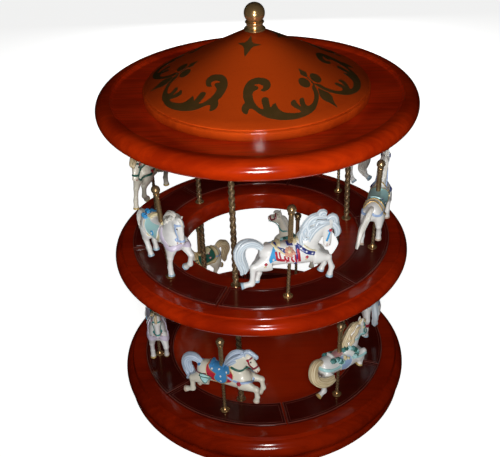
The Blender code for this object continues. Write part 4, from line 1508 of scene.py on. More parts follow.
    def on_neck(self, place: float, rise: float, side: int, size: float) -> Vector:
        """Where a lock of the mane lies.

        Args:
            place: Place along the neck, 0 at the shoulder and 1 at the poll.
            rise: Distance from the neck's line towards the crest.
            side: -1 near, 1 far.
            size: Half the lock's thickness.

        Returns:
            A point just outside the skin, or beside the middle plane beyond the crest.
        """
        at = place * self.NECK_STEPS
        first = min(max(int(at), 0), self.NECK_STEPS - 1)
        step = self.neck_line[first + 1] - self.neck_line[first]
        x, z = self.neck_line[first] + step * (at - first)
        x, z = np.array((x, z)) + np.array((-step[1], step[0])) / np.linalg.norm(step) * rise
        reach = 30.0
        hit = self.tree.ray_cast(Vector((x, side * reach, z)), Vector((0.0, -side, 0.0)), reach)[0]
        return Vector((x, side * ((abs(hit.y) if hit else 0.0) + 0.35 * size), z))

    def strap(self, stops: Sequence[Stop], half: float, over: float, closed: bool) -> Shape:
        """A strap that lies on the skin.

        Args:
            stops: Places that it passes, each an axis, a distance and an angle.
            half: Half its width.
            over: How far it stands proud.
            closed: Whether it is a ring.

        Returns:
            The strap.
        """
        step = 1.1
        places = [tuple(self.spot(*stop)[0]) for stop in stops]
        length = sum(math.dist(a, b) for a, b in zip(places, places[1:]))
        rows = flowing(places, max(int(length / step), 8), closed)
        snapped = [self.tree.find_nearest(Vector(row))[:2] for row in rows]
        middle = np.array([tuple(place) for place, _ in snapped])
        normals = np.array([tuple(normal) for _, normal in snapped])
        for _ in range(3):
            before, after = np.roll(normals, 1, 0), np.roll(normals, -1, 0)
            if not closed:
                before[0], after[-1] = normals[0], normals[-1]
            normals = before + 2 * normals + after
            normals /= np.linalg.norm(normals, axis=1)[:, None]
        return ribbon(middle, normals, half, over, closed)

    def sheet(self, outline: Sequence[Spot], over: float) -> Shape:
        """A cloth of some thickness on the trunk, from its outline as (distance, angle)."""
        corners = list(outline) if area_of(outline) > 0 else list(reversed(outline))
        return laid(corners, self.CLOTH_CELL, lambda u, v: self.spot(self.trunk, u, v), over, 0.4)


def hollows(places: np.ndarray, normals: np.ndarray, edges: np.ndarray) -> np.ndarray:
    """How deep each point of a skin lies in a groove.

    Args:
        places: The points.
        normals: Their normals.
        edges: Pairs of neighbours.

    Returns:
        Values from 0 to 1.
    """
    size, smoothing, gain = len(places), 4, 6.0
    here, there = np.vstack([edges, edges[:, ::-1]]).T
    lift = np.einsum("ij,ij->i", places[there] - places[here], normals[here])
    count = np.maximum(np.bincount(here, minlength=size), 1)
    depth = np.bincount(here, lift, size) / count
    for _ in range(smoothing):
        depth = 0.5 * depth + 0.5 * np.bincount(here, depth[there], size) / count
    return np.clip(depth * gain, 0, 1)


@dataclass
class Horse:
    """One painted porcelain horse with its mane, tail, hooves, saddle and straps.

    Outlines and routes are drawn on the far side as (distance from the pole, degrees from the spine).
    """

    body: HorseBody
    livery: Livery
    clay: Clay = field(default_factory=lambda: Clay("horse"))

    PASTERN = ((2.5, 2.4, 2.4), (2.6, 3, 2.9), (2.74, 3.2, 3.1), (2.88, 3.1, 3))
    HOOF = ((2.74, 2, 2), (2.78, 3.3, 3.2), (2.86, 3.5, 3.4), (2.97, 3.8, 3.7), (3.02, 3.3, 3.2),
            (3.03, 2, 2))
    BAND = ((1.28, 2.8, 2.8), (1.32, 3.6, 3.6), (1.58, 3.5, 3.5), (1.62, 2.7, 2.7))
    EAR = ((-0.15, 1.5, 1.3), (0.15, 1.7, 1.5), (0.5, 1.5, 1.4), (0.85, 0.8, 0.7), (1, 0.3, 0.3))
    BREAST = ((9, 62), (18, 80), (26, 84), (31.5, 80))
    BREECHING = ((-12, 64), (-20, 72), (-28, 78), (-32.5, 55))
    LOW_BREECHING = ((-31.5, 4), (-30.7, 28), (-27.1, 63), (-19, 79), (-11.8, 85), (-5, 84))
    BADGE = ((-4.5, 0), (-4.5, 20), (1.5, 22), (1.5, 0))
    TRIMMED_UNDER = ((-21, 6), (-23, 40), (-22, 78), (-18, 104), (-9, 112), (6, 110), (11, 90), (12, 44),
                     (10, 8))
    TRIMMED = ((-17, 8), (-18, 44), (-17, 74), (-12, 88), (0, 92), (7, 80), (8.5, 42), (7, 10))
    DRAPE = ((-15.5, 30), (-17.5, 72), (-16.5, 94), (-11, 106), (-4.5, 122), (3.5, 126), (8.5, 116),
             (9, 92), (8, 50), (3.2, 18), (-4.2, 22), (-10.7, 30))
    STRIPES = (
        (1.5, ((-16.6, 42), (-16.2, 63), (-15, 84), (-10, 96), (-7, 100))),
        (0.8, ((-12.9, 46), (-12.6, 66), (-11.4, 84))),
        (0.9, ((-7.6, 70), (-7.4, 84), (-5.6, 100), (-2.6, 110))),
        (1, ((-4.3, 80), (-3.6, 96), (-5.6, 116))),
        (1, ((0.4, 80), (-0.4, 98), (2.4, 120))),
        (0.9, ((3, 70), (3.4, 96), (5, 122))),
        (1.5, ((6, 42), (6.6, 76), (7.6, 118))))
    CORNER = ((-18.2, 18), (-16.9, 38), (-16.4, 72), (-16, 90), (-23, 93), (-23.8, 80), (-21.1, 46))
    BORDERS = (
        (((-15.6, 0), (-14.4, 10), (-12.2, 24), (-8.7, 41), (-6, 54)),
         ((-18.6, 0), (-17.6, 12), (-15.3, 26), (-11.4, 44), (-8, 60)),
         0.9),
        (((3.4, 0), (5.8, 25), (10.1, 46), (15.6, 67), (22.6, 80)),
         ((6.4, 0), (8.4, 16), (12.8, 34), (18.4, 54), (24.2, 66)),
         0.6))
    STARS = ((-19.6, 80, 1.9), (5.2, 18, 1.5), (9.2, 42, 1.5), (14.2, 62, 1.5), (20, 75, 1.4),
             (-13.2, 18, 1.2), (-9.6, 37, 1.2))
    UNDERLAY = ((-14.3, 3), (-15.6, 32), (-14, 69), (-10.4, 98), (-5, 116), (4.8, 114), (12, 99),
                (16.3, 79), (16.8, 44), (12, 16), (9.6, 3))
    LOBES = ((-12, 2), (-13.2, 20), (-10.8, 37), (-6.6, 49), (-3.4, 57), (-4.9, 76), (-4, 96), (-0.6, 113),
             (2.6, 118), (6.6, 108), (9.8, 88), (10.2, 66), (9.6, 50), (13.2, 39), (13, 20), (9.4, 3))
    PEARLS = ((-8.6, 33), (-0.6, 28), (2.4, 66), (9.2, 36), (2.6, 98), (-9.6, 14))
    LEAF = ((-21.5, 74), (-17, 71), (-11.5, 78), (-8.6, 90), (-11, 103), (-15, 122), (-18.4, 110),
            (-20.6, 92))
    SHIELD = ((-6, 33), (0, 27), (6, 40), (9.6, 54), (10.2, 78), (9.2, 104), (5.4, 136), (2, 156),
              (-2, 146), (-5, 110), (-6.6, 70))
    GARLANDS = (
        ((-17.2, 31), (-12.6, 35), (-8, 36), (-6.4, 52), (-3.2, 62)),
        ((3.6, 9), (8, 17), (13.6, 27), (19.2, 40), (18.6, 55), (15.4, 66)))
    PAD = ((-11.5, 2), (-12.4, 13), (-8, 23), (-2, 23), (2.4, 14), (3.2, 2))
    BLANKET = ((-19, 5), (-19.6, 40), (-18.2, 80), (-14.4, 112), (-8, 132), (0, 134), (6, 118), (9.4, 90),
               (9.8, 58), (7, 24), (2, 5))
    OVAL = ((-15.6, 13), (-16.4, 44), (-15, 80), (-11.2, 106), (-5, 118), (1, 110), (4.8, 84), (5, 52),
            (2.6, 19))
    SASH = ((5.9, 27), (9.5, 58), (14.1, 85), (23.6, 112), (30.2, 122))
    REINS = {
        Dress.LOBED: (("trunk", 14.2, 21), ("neck", 10.4, 58), ("neck", 13.0, 136), ("head", 17.0, 128)),
        Dress.GARLAND: (("neck", 14.7, 17), ("neck", 16.4, 62), ("neck", 18.0, 108), ("head", 15.0, 108))}

    def strap(self, stops: Sequence[Stop], half: float, over: float, finish: Finish,
              closed: bool = False) -> None:
        """Add a strap or a ring through some stops: half its width, and how far it stands proud."""
        self.clay.add(self.body.strap(stops, half, over, closed), finish)

    def straps(self, axis: Axis, route: Sequence[Spot], half: float, over: float, finish: Finish) -> None:
        """Add a strap on each side of a limb."""
        for side in SIDES:
            self.strap([(axis, along, degrees * side) for along, degrees in route], half, over, finish)

    def loop(self, route: Sequence[Spot], middle: Spot, half: float, over: float, finish: Finish) -> None:
        """Add a strap from the near side round the chest or the haunches, through a middle place."""
        places = [(along, -degrees) for along, degrees in route] + [middle] + list(reversed(route))
        self.strap([(self.body.trunk, *place) for place in places], half, over, finish)

    def knob(self, axis: Axis, along: float, degrees: float, finish: Finish, radius: float, height: float,
             petals: int = 0, sides: int = 24, lift: float = 0.0) -> None:
        """Add a dome or a flower that stands out of the skin, or over it by a lift."""
        place, normal = self.body.spot(axis, along, degrees)
        self.clay.add(bead(place + normal * lift, normal, radius, height, petals, sides), finish)

    def hooves(self) -> None:
        """Four pasterns in the coat's colour with flared hooves under them, and a band if one is worn."""
        legs = self.body.gait.legs
        for joints in legs:
            self.clay.add(self.body.leg(joints, self.PASTERN, 14), self.livery.coat)
            self.clay.add(self.body.leg(joints, self.HOOF, 14), self.livery.hoof)
        if self.livery.band:
            self.clay.add(self.body.leg(legs[3], self.BAND, 8), self.livery.band)

    def face(self) -> None:
        """Eyes with lids, nostrils, ears and mouth."""
        head, coat = self.body.head, self.livery.coat
        n = head.length
        for side in SIDES:
            self.knob(head, 0.30 * n, 58 * side, coat, 1.7, 0.7)
            self.knob(head, 0.30 * n, 58 * side, EYE_DARK, 1.15, 0.8, lift=0.25)
            self.knob(head, 0.93 * n, 50 * side, LIP_ROSE, 0.85, 0.25)
            root, _ = self.body.spot(head, -0.03 * n, 38 * side)
            _, upper = head.ray(0.0, 0.0)
            tip = upper * 4.6 - head.ahead * 4.0 + Vector((0, 1.1 * side, 0))
            rows = [(*(root + tip * share), deep, wide) for share, deep, wide in self.EAR]
            self.clay.add(limb(rows, 12, 12), coat)
        self.straps(head, [(0.97 * n, 100), (0.91 * n, 104), (0.85 * n, 102)], 0.35, 0.25, LIP_ROSE)

    def lock(self, stops: Sequence[Sequence[float]], twist: float = 2.0) -> None:
        """A fluted lock of hair through rows of x, y, z and size."""
        rows = [(x, y, z, 0.95 * size, 0.85 * size) for x, y, z, size in stops]
        self.clay.add(limb(rows, 20, 26, 6, 0.07, twist), self.livery.mane)

    def mane(self) -> None:
        """Locks over the crest and on both sides of the neck, then the forelock."""
        crest, flanks = self.body.gait.hair.value
        for side, locks in ((0, crest), (-1, flanks), (1, flanks)):
            for rows in locks:
                self.lock([(*self.body.on_neck(place, rise, side, size), size) for place, rise, size in rows],
                          2.0 * side)
        for lobe in self.body.gait.forelock.value:
            stops = []
            for along, rise, aside, size in lobe:
                middle, front = self.body.head.ray(along, 0.0)
                stops.append((*(middle + front * rise - Vector((0, aside, 0))), size))
            self.lock(stops)

    def tail(self) -> None:
        """A bundle of long wavy locks: one in the middle and a ring of others that spread and close again."""
        count = 9
        path = flowing(self.body.gait.tail, count)
        ahead = np.gradient(path, axis=0)
        ahead /= np.linalg.norm(ahead, axis=1)[:, None]
        across = np.array((0.0, 1.0, 0.0)) - ahead * ahead[:, 1:2]
        over = np.cross(ahead, across)
        slim = self.body.gait.slim ** 2
        for strand in range(8):
            rows = []
            last = count - (strand * 5) % 3
            for i in range(last):
                share = i / (last - 1)
                spread = slim * 3.1 * math.sin(math.pi * min(0.14 + 0.56 * share, 1.0)) if strand else 0.0
                angle = math.tau * strand / 7 + 1.3 * share
                place = path[i] + (over[i] * math.cos(angle) + across[i] * 0.85 * math.sin(angle)) * spread
                fullness = 0.50 + 0.70 * math.sin(math.pi * min(0.1 + 0.64 * share, 1.0))
                size = slim * 2.8 * fullness * (1 - 0.50 * share ** 8)
                rows.append((*place, size, size))
            self.clay.add(limb(rows, 18, 28, 6, 0.08, 2.5), self.livery.mane)

    def bridle(self) -> None:
        """A halter with rosettes, or only a cheek strap with a red rosette, and the reins."""
        livery, head, neck, trunk = self.livery, self.body.head, self.body.neck, self.body.trunk
        n = head.length
        if livery.dress is Dress.STRIPED:
            self.straps(head, [(0.36 * n, 100), (0.34 * n, 68), (0.54 * n, 82), (0.76 * n, 110)], 0.9, 0.7,
                        livery.bridle)
            for side in SIDES:
                self.knob(head, 0.34 * n, 66 * side, PAINT_RED, 2.1, 1.2, 6, lift=0.5)
            return
        nose = (0.84 if livery.dress is Dress.DRAPED else 0.72) * n
        self.strap([(head, nose, angle) for angle in ALL_ROUND], 1.1, 0.6, livery.bridle, True)
        self.straps(head, [(nose, 96), (0.44 * n, 100), (0.16 * n, 72)], 1.0, 0.6, livery.bridle)
        self.strap([(head, 0.16 * n, angle) for angle in range(-80, 81, 20)], 0.9, 0.7, livery.bridle)
        for side in SIDES:
            self.knob(head, 0.17 * n, 78 * side, livery.flower, 1.8, 1.0, 6)
        if livery.dress is Dress.DRAPED:
            return
        limbs = {"trunk": trunk, "neck": neck, "head": head}
        usual = (("head", 0.78 * n, 100), ("neck", 0.62 * neck.length, 108), ("neck", 0.30 * neck.length, 88),
                 ("trunk", 9.0, 42), ("trunk", 5.0, 12))
        half = 1.5 if livery.dress is Dress.LOBED else 1.0
        for side in SIDES:
            stops = [(limbs[part], along, degrees * side)
                     for part, along, degrees in self.REINS.get(livery.dress, usual)]
            self.strap(stops, half, 0.9, livery.strap)

    def rosette(self, along: float, degrees: float, radius: float, petals: int, finish: Finish, heart: Finish,
                lift: float = 0.6) -> None:
        """A flower or rosette on each side of the trunk.

        Args:
            along: Distance from the pole.
            degrees: Angle from the spine.
            radius: Its radius.
            petals: Number of petals.
            finish: The petals' finish.
            heart: The middle's finish.
            lift: Height of its foot over the skin.
        """
        trunk = self.body.trunk
        for side in SIDES:
            self.knob(trunk, along, degrees * side, finish, radius, radius * 0.42, petals, 6 * petals, lift)
            self.knob(trunk, along, degrees * side, heart, radius * 0.36, radius * 0.26, 0, 16,
                      lift + radius * 0.30)

    def cloth(self, outline: Sequence[Spot], over: float, finish: Finish, piping: Finish | None = None,
              width: float = 0.65, whole: bool = False, smooth: int = 60) -> None:
        """A cloth on each side of the trunk, or one over its back, with piping round it.

        Args:
            outline: Its outline on the far side, as (distance, angle).
            over: Its thickness.
            finish: Its finish.
            piping: The finish of its piping, or none.
            width: Half the piping's width.
            whole: Whether both sides are one cloth.
            smooth: Points of the smoothed outline, 0 to keep its corners.
        """
        shapes = [[(along, degrees * side) for along, degrees in outline] for side in (1, -1)]
        if whole:
            shapes = [shapes[0] + shapes[1][::-1]]
        for shape in shapes:
            if smooth:
                shape = rounded(shape, smooth)
            self.clay.add(self.body.sheet(shape, over), finish)
            if piping:
                self.strap([(self.body.trunk, *corner) for corner in shape], width, over + 0.35, piping, True)

    def seat(self, finish: Finish, edge: Finish, rise: float = 4.2, back: float = -13.5) -> None:
        """The saddle's seat with its raised front and back.

        Args:
            finish: The leather's finish.
            edge: The finish of the raised edges.
            rise: Height of the raised back.
            back: Where the raised back stands along the trunk.
        """
        outline = ((back + 0.5, -22), (-7, -30), (3, -24), (5, 0), (3, 24), (-7, 30), (back + 0.5, 22),
                   (back - 1.5, 0))
        self.clay.add(self.body.sheet(rounded(outline, 40), 1.5), finish)
        for along, half, over, sweep in ((back, 1.9, rise, 20), (4.8, 1.2, 2.6, 16)):
            stops = [(self.body.trunk, along, share * sweep) for share in (-1, -0.5, 0, 0.5, 1)]
            self.strap(stops, half, over, edge)

    def girth(self, finish: Finish) -> None:
        """The belt under the belly."""
        self.strap([(self.body.trunk, 4.6, degrees) for degrees in ALL_ROUND], 1.1, 0.7, finish, True)

    def star(self, along: float, degrees: float, radius: float) -> None:
        """A white five-pointed star on the trunk.

        Args:
            along: Distance from the pole.
            degrees: Angle from the spine.
            radius: Its radius.
        """
        degrees_per_mm = 4.8
        outline = []
        for i in range(10):
            reach = radius if i % 2 == 0 else radius * 0.45
            angle = math.pi * i / 5
            outline.append((along + reach * math.sin(angle),
                            degrees + degrees_per_mm * reach * math.cos(angle)))
        self.clay.add(self.body.sheet(outline, 1.35), PAINT_WHITE)

    def wear_striped(self) -> None:
        """A drape of wavy stripes between two starred borders, with a rosette."""
        livery, trunk = self.livery, self.body.trunk
        self.cloth(self.DRAPE, 0.5, PAINT_WHITE)
        for half, stripe in self.STRIPES:
            self.straps(trunk, stripe, half, 0.85, livery.saddle)
        self.cloth(self.CORNER, 0.8, PAINT_BRIGHT_BLUE, smooth=0)
        for border, edge, width in self.BORDERS:
            self.straps(trunk, border, 2.0, 1.2, livery.cloth)
            self.straps(trunk, edge, width, 1.35, livery.trim)
        for along, degrees, radius in self.STARS:
            for side in SIDES:
                self.star(along, side * degrees, radius)
        self.rosette(-3.0, 50, 5.4, 9, livery.flower, PAINT_CREAM)
        for along, degrees in ((-5.4, 68), (-1.6, 72), (1.6, 62)):
            self.rosette(along, degrees, 2.2, 5, livery.flower, livery.flower)
        for along, degrees in ((14.9, 95), (-27.0, 97)):
            self.rosette(along, degrees, 1.7, 5, PAINT_RED, PAINT_RED)
            self.rosette(along - 0.6, degrees + 12, 1.1, 5, PAINT_CREAM, PAINT_CREAM)
        self.seat(PAINT_WHITE, livery.trim)
        self.cloth(self.BADGE, 1.9, livery.cloth, whole=True, smooth=0)
        self.girth(PAINT_NAVY)

    def wear_lobed(self) -> None:
        """A four-lobed saddle with pearls on a bordered underlay, a leaf and a flower."""
        livery, trunk = self.livery, self.body.trunk
        self.cloth(self.UNDERLAY, 0.6, livery.cloth, livery.trim, 0.5, True, 110)
        self.cloth(self.LOBES, 1.3, livery.saddle, PAINT_GOLD, 0.4, True, 170)
        for along, degrees in self.PEARLS:
            self.rosette(along, degrees, 1.3, 5, PAINT_WHITE, PAINT_WHITE, 1.3)
        self.seat(livery.saddle, livery.saddle, 4.4, -10.5)
        self.loop(self.BREAST, UNDER_CHEST, 1.3, 0.9, PAINT_PALE_BLUE)
        self.rosette(24, 90, 2.9, 6, livery.flower, PAINT_RED)
        self.cloth(self.LEAF, 0.9, PAINT_AQUA, PAINT_GREEN, 0.45)
        self.straps(trunk, ((-22.5, 84), (-15.0, 94), (-10.0, 91)), 0.5, 1.4, PAINT_GREEN)
        self.loop(self.BREECHING, OVER_DOCK, 0.6, 0.9, PAINT_MAROON)
        self.straps(trunk, ((-23.5, 26), (-26.0, 14), (-27.5, 2)), 1.8, 0.9, PAINT_BLUE)

    def wear_garland(self) -> None:
        """A small saddle with a raised back, a shield cloth, two garlands and a breeching strap."""
        livery, trunk = self.livery, self.body.trunk
        self.cloth(self.SHIELD, 0.7, livery.cloth, PAINT_WHITE, 0.4)
        self.cloth(self.PAD, 1.2, livery.saddle, whole=True)
        self.strap([(trunk, -14.5, degrees) for degrees in range(-18, 19, 9)], 1.5, 3.0, livery.coat)
        leaves = (PAINT_TEAL, PAINT_GREEN, PAINT_AQUA)
        for garland in self.GARLANDS:
            for i, (along, degrees) in enumerate(flowing(garland, 9)):
                for side in SIDES:
                    self.knob(trunk, along, side * degrees, leaves[i % 3], 3.1, 2.1, 5, 20, 0.9)
        self.rosette(1.8, 46, 3.2, 8, PAINT_CREAM, PAINT_GOLD)
        self.rosette(6.0, 58, 2.0, 6, PAINT_CREAM, PAINT_GOLD)
        self.loop(self.BREAST, UNDER_CHEST, 1.3, 0.9, livery.strap)
        self.straps(trunk, self.LOW_BREECHING, 1.8, 1.0, livery.strap)

    def wear_draped(self) -> None:
        """A tall oval blanket with a wide border, a sash round the chest and a bow on the rump."""
        livery, trunk = self.livery, self.body.trunk
        self.cloth(self.BLANKET, 0.8, livery.trim, PAINT_WHITE, 0.9, True, 110)
        self.cloth(self.OVAL, 1.2, livery.cloth, PAINT_WHITE, 0.6)
        self.seat(livery.saddle, livery.trim)
        self.rosette(-4, 84, 3.4, 6, PAINT_BRIGHT_BLUE, PAINT_WHITE)
        self.rosette(-1.0, 66, 2.0, 5, PAINT_PALE_BLUE, PAINT_WHITE)
        self.loop(self.SASH, UNDER_CHEST, 2.8, 1.1, livery.strap)
        for along, degrees in ((-20.5, 0), (-22.6, 22), (-18.4, 26), (-24.8, 6), (-22.6, -22), (-18.4, -26)):
            self.knob(trunk, along, degrees, PAINT_BRIGHT_BLUE, 2.9, 2.6, 5, 20, 1.0)

    def wear_trimmed(self) -> None:
        """A straight blanket with braided trim, a second cloth under it and rosettes."""
        livery = self.livery
        self.cloth(self.TRIMMED_UNDER, 0.6, livery.trim, PAINT_GOLD, 0.6, True, 110)
        self.cloth(self.TRIMMED, 1.1, livery.cloth, PAINT_GOLD, 0.5, True, 110)
        for degrees in (30, 62):
            self.rosette(-10, degrees, 2.2, 5, livery.flower, PAINT_WHITE)
        self.seat(livery.saddle, livery.saddle, 2.6)
        self.loop(self.BREAST, UNDER_CHEST, 1.2, 0.9, livery.strap)
        self.loop(self.BREECHING, OVER_DOCK, 1.3, 0.9, PAINT_PALE_BLUE)
        self.rosette(21, 80, 2.8, 6, livery.flower, PAINT_GOLD)
        self.girth(livery.strap)

    def build(self, node: str, place: Matrix) -> None:
        """Make the horse at its pole.

        Args:
            node: The CAD node that it stands for.
            place: Where its own frame lies.
        """
        self.clay.name = f"{node}_painted"
        self.clay.add(self.body.skin, self.livery.coat)
        self.hooves()
        self.face()
        self.tail()
        {Dress.STRIPED: self.wear_striped, Dress.LOBED: self.wear_lobed, Dress.GARLAND: self.wear_garland,
         Dress.DRAPED: self.wear_draped, Dress.TRIMMED: self.wear_trimmed}[self.livery.dress]()
        self.bridle()
        self.mane()
        self.clay.bake(node, "porcelain", 55.0, place, MM)


STRIPED_WHITE = Livery(Dress.STRIPED, COAT_WHITE, MANE_GREY, HOOF_BLUE, PAINT_RED, PAINT_NAVY, PAINT_CREAM,
                       PAINT_BRIGHT_BLUE, PAINT_BRIGHT_BLUE, PAINT_PEACH)
LOBED_BLUE = Livery(Dress.LOBED, COAT_CREAM, MANE_BLUE, HOOF_BEIGE, PAINT_BLUE, PAINT_RED, PAINT_CREAM,
                    PAINT_GREEN, PAINT_MAROON, PAINT_RED)
LOBED_GREEN = Livery(Dress.LOBED, COAT_WHITE, MANE_WHITE, HOOF_BLUE, PAINT_TEAL, PAINT_LILAC, PAINT_CREAM,
                     PAINT_NAVY, PAINT_GREEN, PAINT_PEACH)
GARLAND_PINK = Livery(Dress.GARLAND, COAT_WHITE, MANE_GOLD, HOOF_GOLD, PAINT_PINK, PAINT_PALE_BLUE,
                      PAINT_GOLD, PAINT_AQUA, PAINT_TEAL, PAINT_CREAM)
GARLAND_BLUE = Livery(Dress.GARLAND, COAT_CREAM, MANE_WHITE, HOOF_BEIGE, PAINT_BLUE, PAINT_MAROON,
                      PAINT_GOLD, PAINT_TEAL, PAINT_MAROON, PAINT_PINK)
DRAPED_AQUA = Livery(Dress.DRAPED, COAT_WHITE, MANE_WHITE, HOOF_BLUE, PAINT_WHITE, PAINT_AQUA, PAINT_CREAM,
                     PAINT_LILAC, PAINT_PALE_BLUE, PAINT_PALE_BLUE)
DRAPED_LILAC = Livery(Dress.DRAPED, COAT_WHITE, MANE_GOLD, HOOF_GOLD, PAINT_TEAL, PAINT_LILAC, PAINT_CREAM,
                      PAINT_LILAC, PAINT_TEAL, PAINT_PINK)
TRIMMED_TEAL = Livery(Dress.TRIMMED, COAT_WHITE, MANE_WHITE, HOOF_BEIGE, PAINT_AQUA, PAINT_AQUA,
                      PAINT_WHITE, PAINT_PALE_BLUE, PAINT_PALE_BLUE, PAINT_NAVY)
BANDED_BLUE = Livery(Dress.TRIMMED, COAT_WHITE, MANE_GREY, HOOF_BLUE, PAINT_AQUA, PAINT_PALE_BLUE,
                     PAINT_WHITE, PAINT_PALE_BLUE, PAINT_PALE_BLUE, PAINT_NAVY, PAINT_MAROON)
TRIMMED_GREEN = Livery(Dress.TRIMMED, COAT_CREAM, MANE_GOLD, HOOF_GOLD, PAINT_CREAM, PAINT_GREEN,
                       PAINT_CREAM, PAINT_GREEN, PAINT_GREEN, PAINT_RED)


@dataclass(frozen=True)
class Stand:
    """One horse on its pole: its lift in millimetres, and its lean to +X for each unit of height."""

    gait: Gaits
    livery: Livery
    lift: float = 0.0
    lean: float = 0.0


@dataclass
class Tier:
    """One deck's panels, pillars, poles and horses."""

    name: str
    first_angle: float
    panel: Panel
    stands: tuple[Stand, ...]
    circle: float = 0.1300

    def build(self, bodies: dict[Gaits, HorseBody]) -> None:
        """Make everything that stands on the deck.

        Args:
            bodies: The bare horses by their gait.
        """
        pillar = Pillar()
        for number in range(1, 4):
            pillar.build(f"{self.name}_pillar_{number}")
        for number, stand in enumerate(self.stands, 1):
            angle = math.radians(self.first_angle) + SIXTH * (number - 1)
            self.panel.build(f"{self.name}_panel_{number}", angle)
            low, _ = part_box(f"{self.name}_pole_{number}")
            foot = Matrix.Translation((self.circle * math.cos(angle), self.circle * math.sin(angle), low.z))
            foot = foot @ Matrix.Shear("XY", 4, (stand.lean, 0.0))
            lift = stand.lift * MM
            Pole(change=Pole.change + lift).build(f"{self.name}_pole_{number}", foot)
            place = foot @ Matrix.Rotation(angle + math.pi / 2, 4, "Z") @ Matrix.Translation((0.0, 0.0, lift))
            Horse(bodies[stand.gait], stand.livery).build(f"{self.name}_horse_{number}", place)


LOWER_TIER = Tier("base", -110.7, Panel(), (
    Stand(Gaits.PRANCING, LOBED_BLUE, 0.0, -0.009), Stand(Gaits.CURVETTING, GARLAND_PINK, 0.0, 0.022),
    Stand(Gaits.WALKING, BANDED_BLUE), Stand(Gaits.STRIDING, GARLAND_BLUE, 6.0, 0.032),
    Stand(Gaits.REACHING, TRIMMED_GREEN, 0.0, 0.025), Stand(Gaits.WALKING, DRAPED_LILAC)))
UPPER_TIER = Tier("mid", -78.4, Panel(finish=UPPER_PANEL_PAINTED_LIGHT), (
    Stand(Gaits.LEAPING, STRIPED_WHITE, 0.0, 0.042), Stand(Gaits.STRIDING, TRIMMED_TEAL, 6.0, 0.044),
    Stand(Gaits.PRANCING, LOBED_GREEN, 4.0), Stand(Gaits.CURVETTING, GARLAND_BLUE, 4.0),
    Stand(Gaits.REACHING, TRIMMED_GREEN, 15.0), Stand(Gaits.WALKING, DRAPED_AQUA, 4.0, -0.064)))


@dataclass(frozen=True)
class Lamp:
    """A soft square light: its width, power in watts, beam in degrees, and whether gloss shows it."""

    name: str
    place: Point
    aim: Point
    width: float
    power: float
    beam: float = 180.0
    mirrored: bool = True

    def build(self) -> None:
        """Set the lamp up."""
        lamp = bpy.data.lights.new(self.name, "AREA")
        lamp.shape = "SQUARE"
        lamp.size = self.width
        lamp.energy = self.power
        lamp.spread = math.radians(self.beam)
        item = bpy.data.objects.new(self.name, lamp)
        item.visible_glossy = self.mirrored
        item.location = self.place
        item.rotation_euler = (Vector(self.aim) - Vector(self.place)).to_track_quat("-Z", "Y").to_euler()
        bpy.context.scene.collection.objects.link(item)


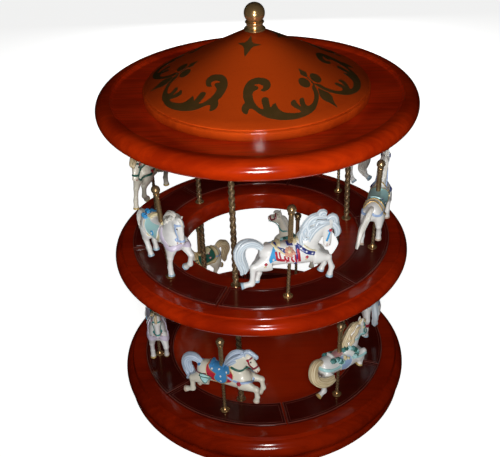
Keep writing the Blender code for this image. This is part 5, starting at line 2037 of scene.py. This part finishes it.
@dataclass
class Studio:
    """Pale floor, soft lights and the camera."""

    floor_reach: float = 4.0
    eye: Point = (0.0, -0.8387, 0.7362)
    yaw: float = -0.82
    pitch: float = 32.19
    roll: float = -2.07
    focal_pixels: float = 862.07
    picture_width: int = 500
    sensor: float = 36.0
    surround: Colour = (0.95, 0.97, 1.0)
    surround_strength: float = 0.03

    LAMPS = (Lamp("key_light", (0.02, -0.87, 0.80), (0.0, 0.0, 0.25), 0.10, 2.6),
             Lamp("low_light", (0.0, -1.30, 0.35), (0.0, 0.0, 0.42), 0.30, 1.25, 60.0),
             Lamp("back_light", (0.0, 1.30, 0.42), (0.0, 0.0, 0.26), 0.50, 4.5, mirrored=False))

    def floor(self) -> None:
        """A pale floor under the foot, in square cells."""
        mesh = bpy.data.meshes.new("studio_floor")
        cells = 12
        lines = [self.floor_reach * (2 * i / cells - 1) for i in range(cells + 1)]
        starts = [j * (cells + 1) + i for j in range(cells) for i in range(cells)]
        faces = [(start, start + 1, start + cells + 2, start + cells + 1) for start in starts]
        mesh.from_pydata([(x, y, 0.0) for y in lines for x in lines], [], faces)
        mesh.materials.append(Plaster("studio_plaster").material())
        floor = bpy.data.objects.new("studio_floor", mesh)
        bpy.context.scene.collection.objects.link(floor)
        floor.visible_glossy = False
        floor.visible_diffuse = False

    def lights(self) -> None:
        """A small key above the camera, a low light in front, one behind and a dim surround."""
        for lamp in self.LAMPS:
            lamp.build()
        world = bpy.data.worlds.new("dim_surround")
        world.use_nodes = True
        background = world.node_tree.nodes["Background"].inputs
        background["Color"].default_value = (*self.surround, 1.0)
        background["Strength"].default_value = self.surround_strength
        world.cycles_visibility.glossy = False
        bpy.context.scene.world = world
        bpy.context.scene.view_settings.view_transform = "Standard"

    def camera(self) -> None:
        """The camera at the picture's own angle."""
        yaw, pitch, roll = (math.radians(angle) for angle in (self.yaw, self.pitch, self.roll))
        ahead = Vector((math.sin(yaw) * math.cos(pitch), math.cos(yaw) * math.cos(pitch), -math.sin(pitch)))
        right = Vector((math.cos(yaw), -math.sin(yaw), 0.0))
        up = right.cross(ahead)
        level_right = right * math.cos(roll) + up * math.sin(roll)
        level_up = up * math.cos(roll) - right * math.sin(roll)
        data = bpy.data.cameras.new("camera")
        data.sensor_fit = "HORIZONTAL"
        data.sensor_width = self.sensor
        data.lens = self.focal_pixels * self.sensor / self.picture_width
        data.clip_start = 0.01
        eye = bpy.data.objects.new("camera", data)
        turn = Matrix((level_right, level_up, -ahead)).transposed().to_4x4()
        eye.matrix_world = Matrix.Translation(self.eye) @ turn
        bpy.context.scene.collection.objects.link(eye)
        bpy.context.scene.camera = eye

    def build(self) -> None:
        """Set up the studio."""
        self.floor()
        self.lights()
        self.camera()


def main() -> None:
    """Build the studio and the carousel, piece by piece."""
    logging.basicConfig(level=logging.INFO, format="%(name)s: %(message)s")
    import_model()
    Studio().build()
    TurntableFoot().build()
    Disc("base_disc", rise=0.0030, step=0.1645, slope=0.0022, finish=BASE_CHERRY_PAINTED_SHADE, middle=BASE_MIDDLE_PAINTED_LIGHT).build()
    Disc("mid_deck", rise=0.0013, step=0.1600, slope=0.0010, hole=0.0905).build()
    RoofBoard().build()
    Cone().build()
    Finial().build()
    bodies = {gait: HorseBody(gait.value) for gait in Gaits}
    for tier in (LOWER_TIER, UPPER_TIER):
        tier.build(bodies)


if __name__ == "__main__":
    main()
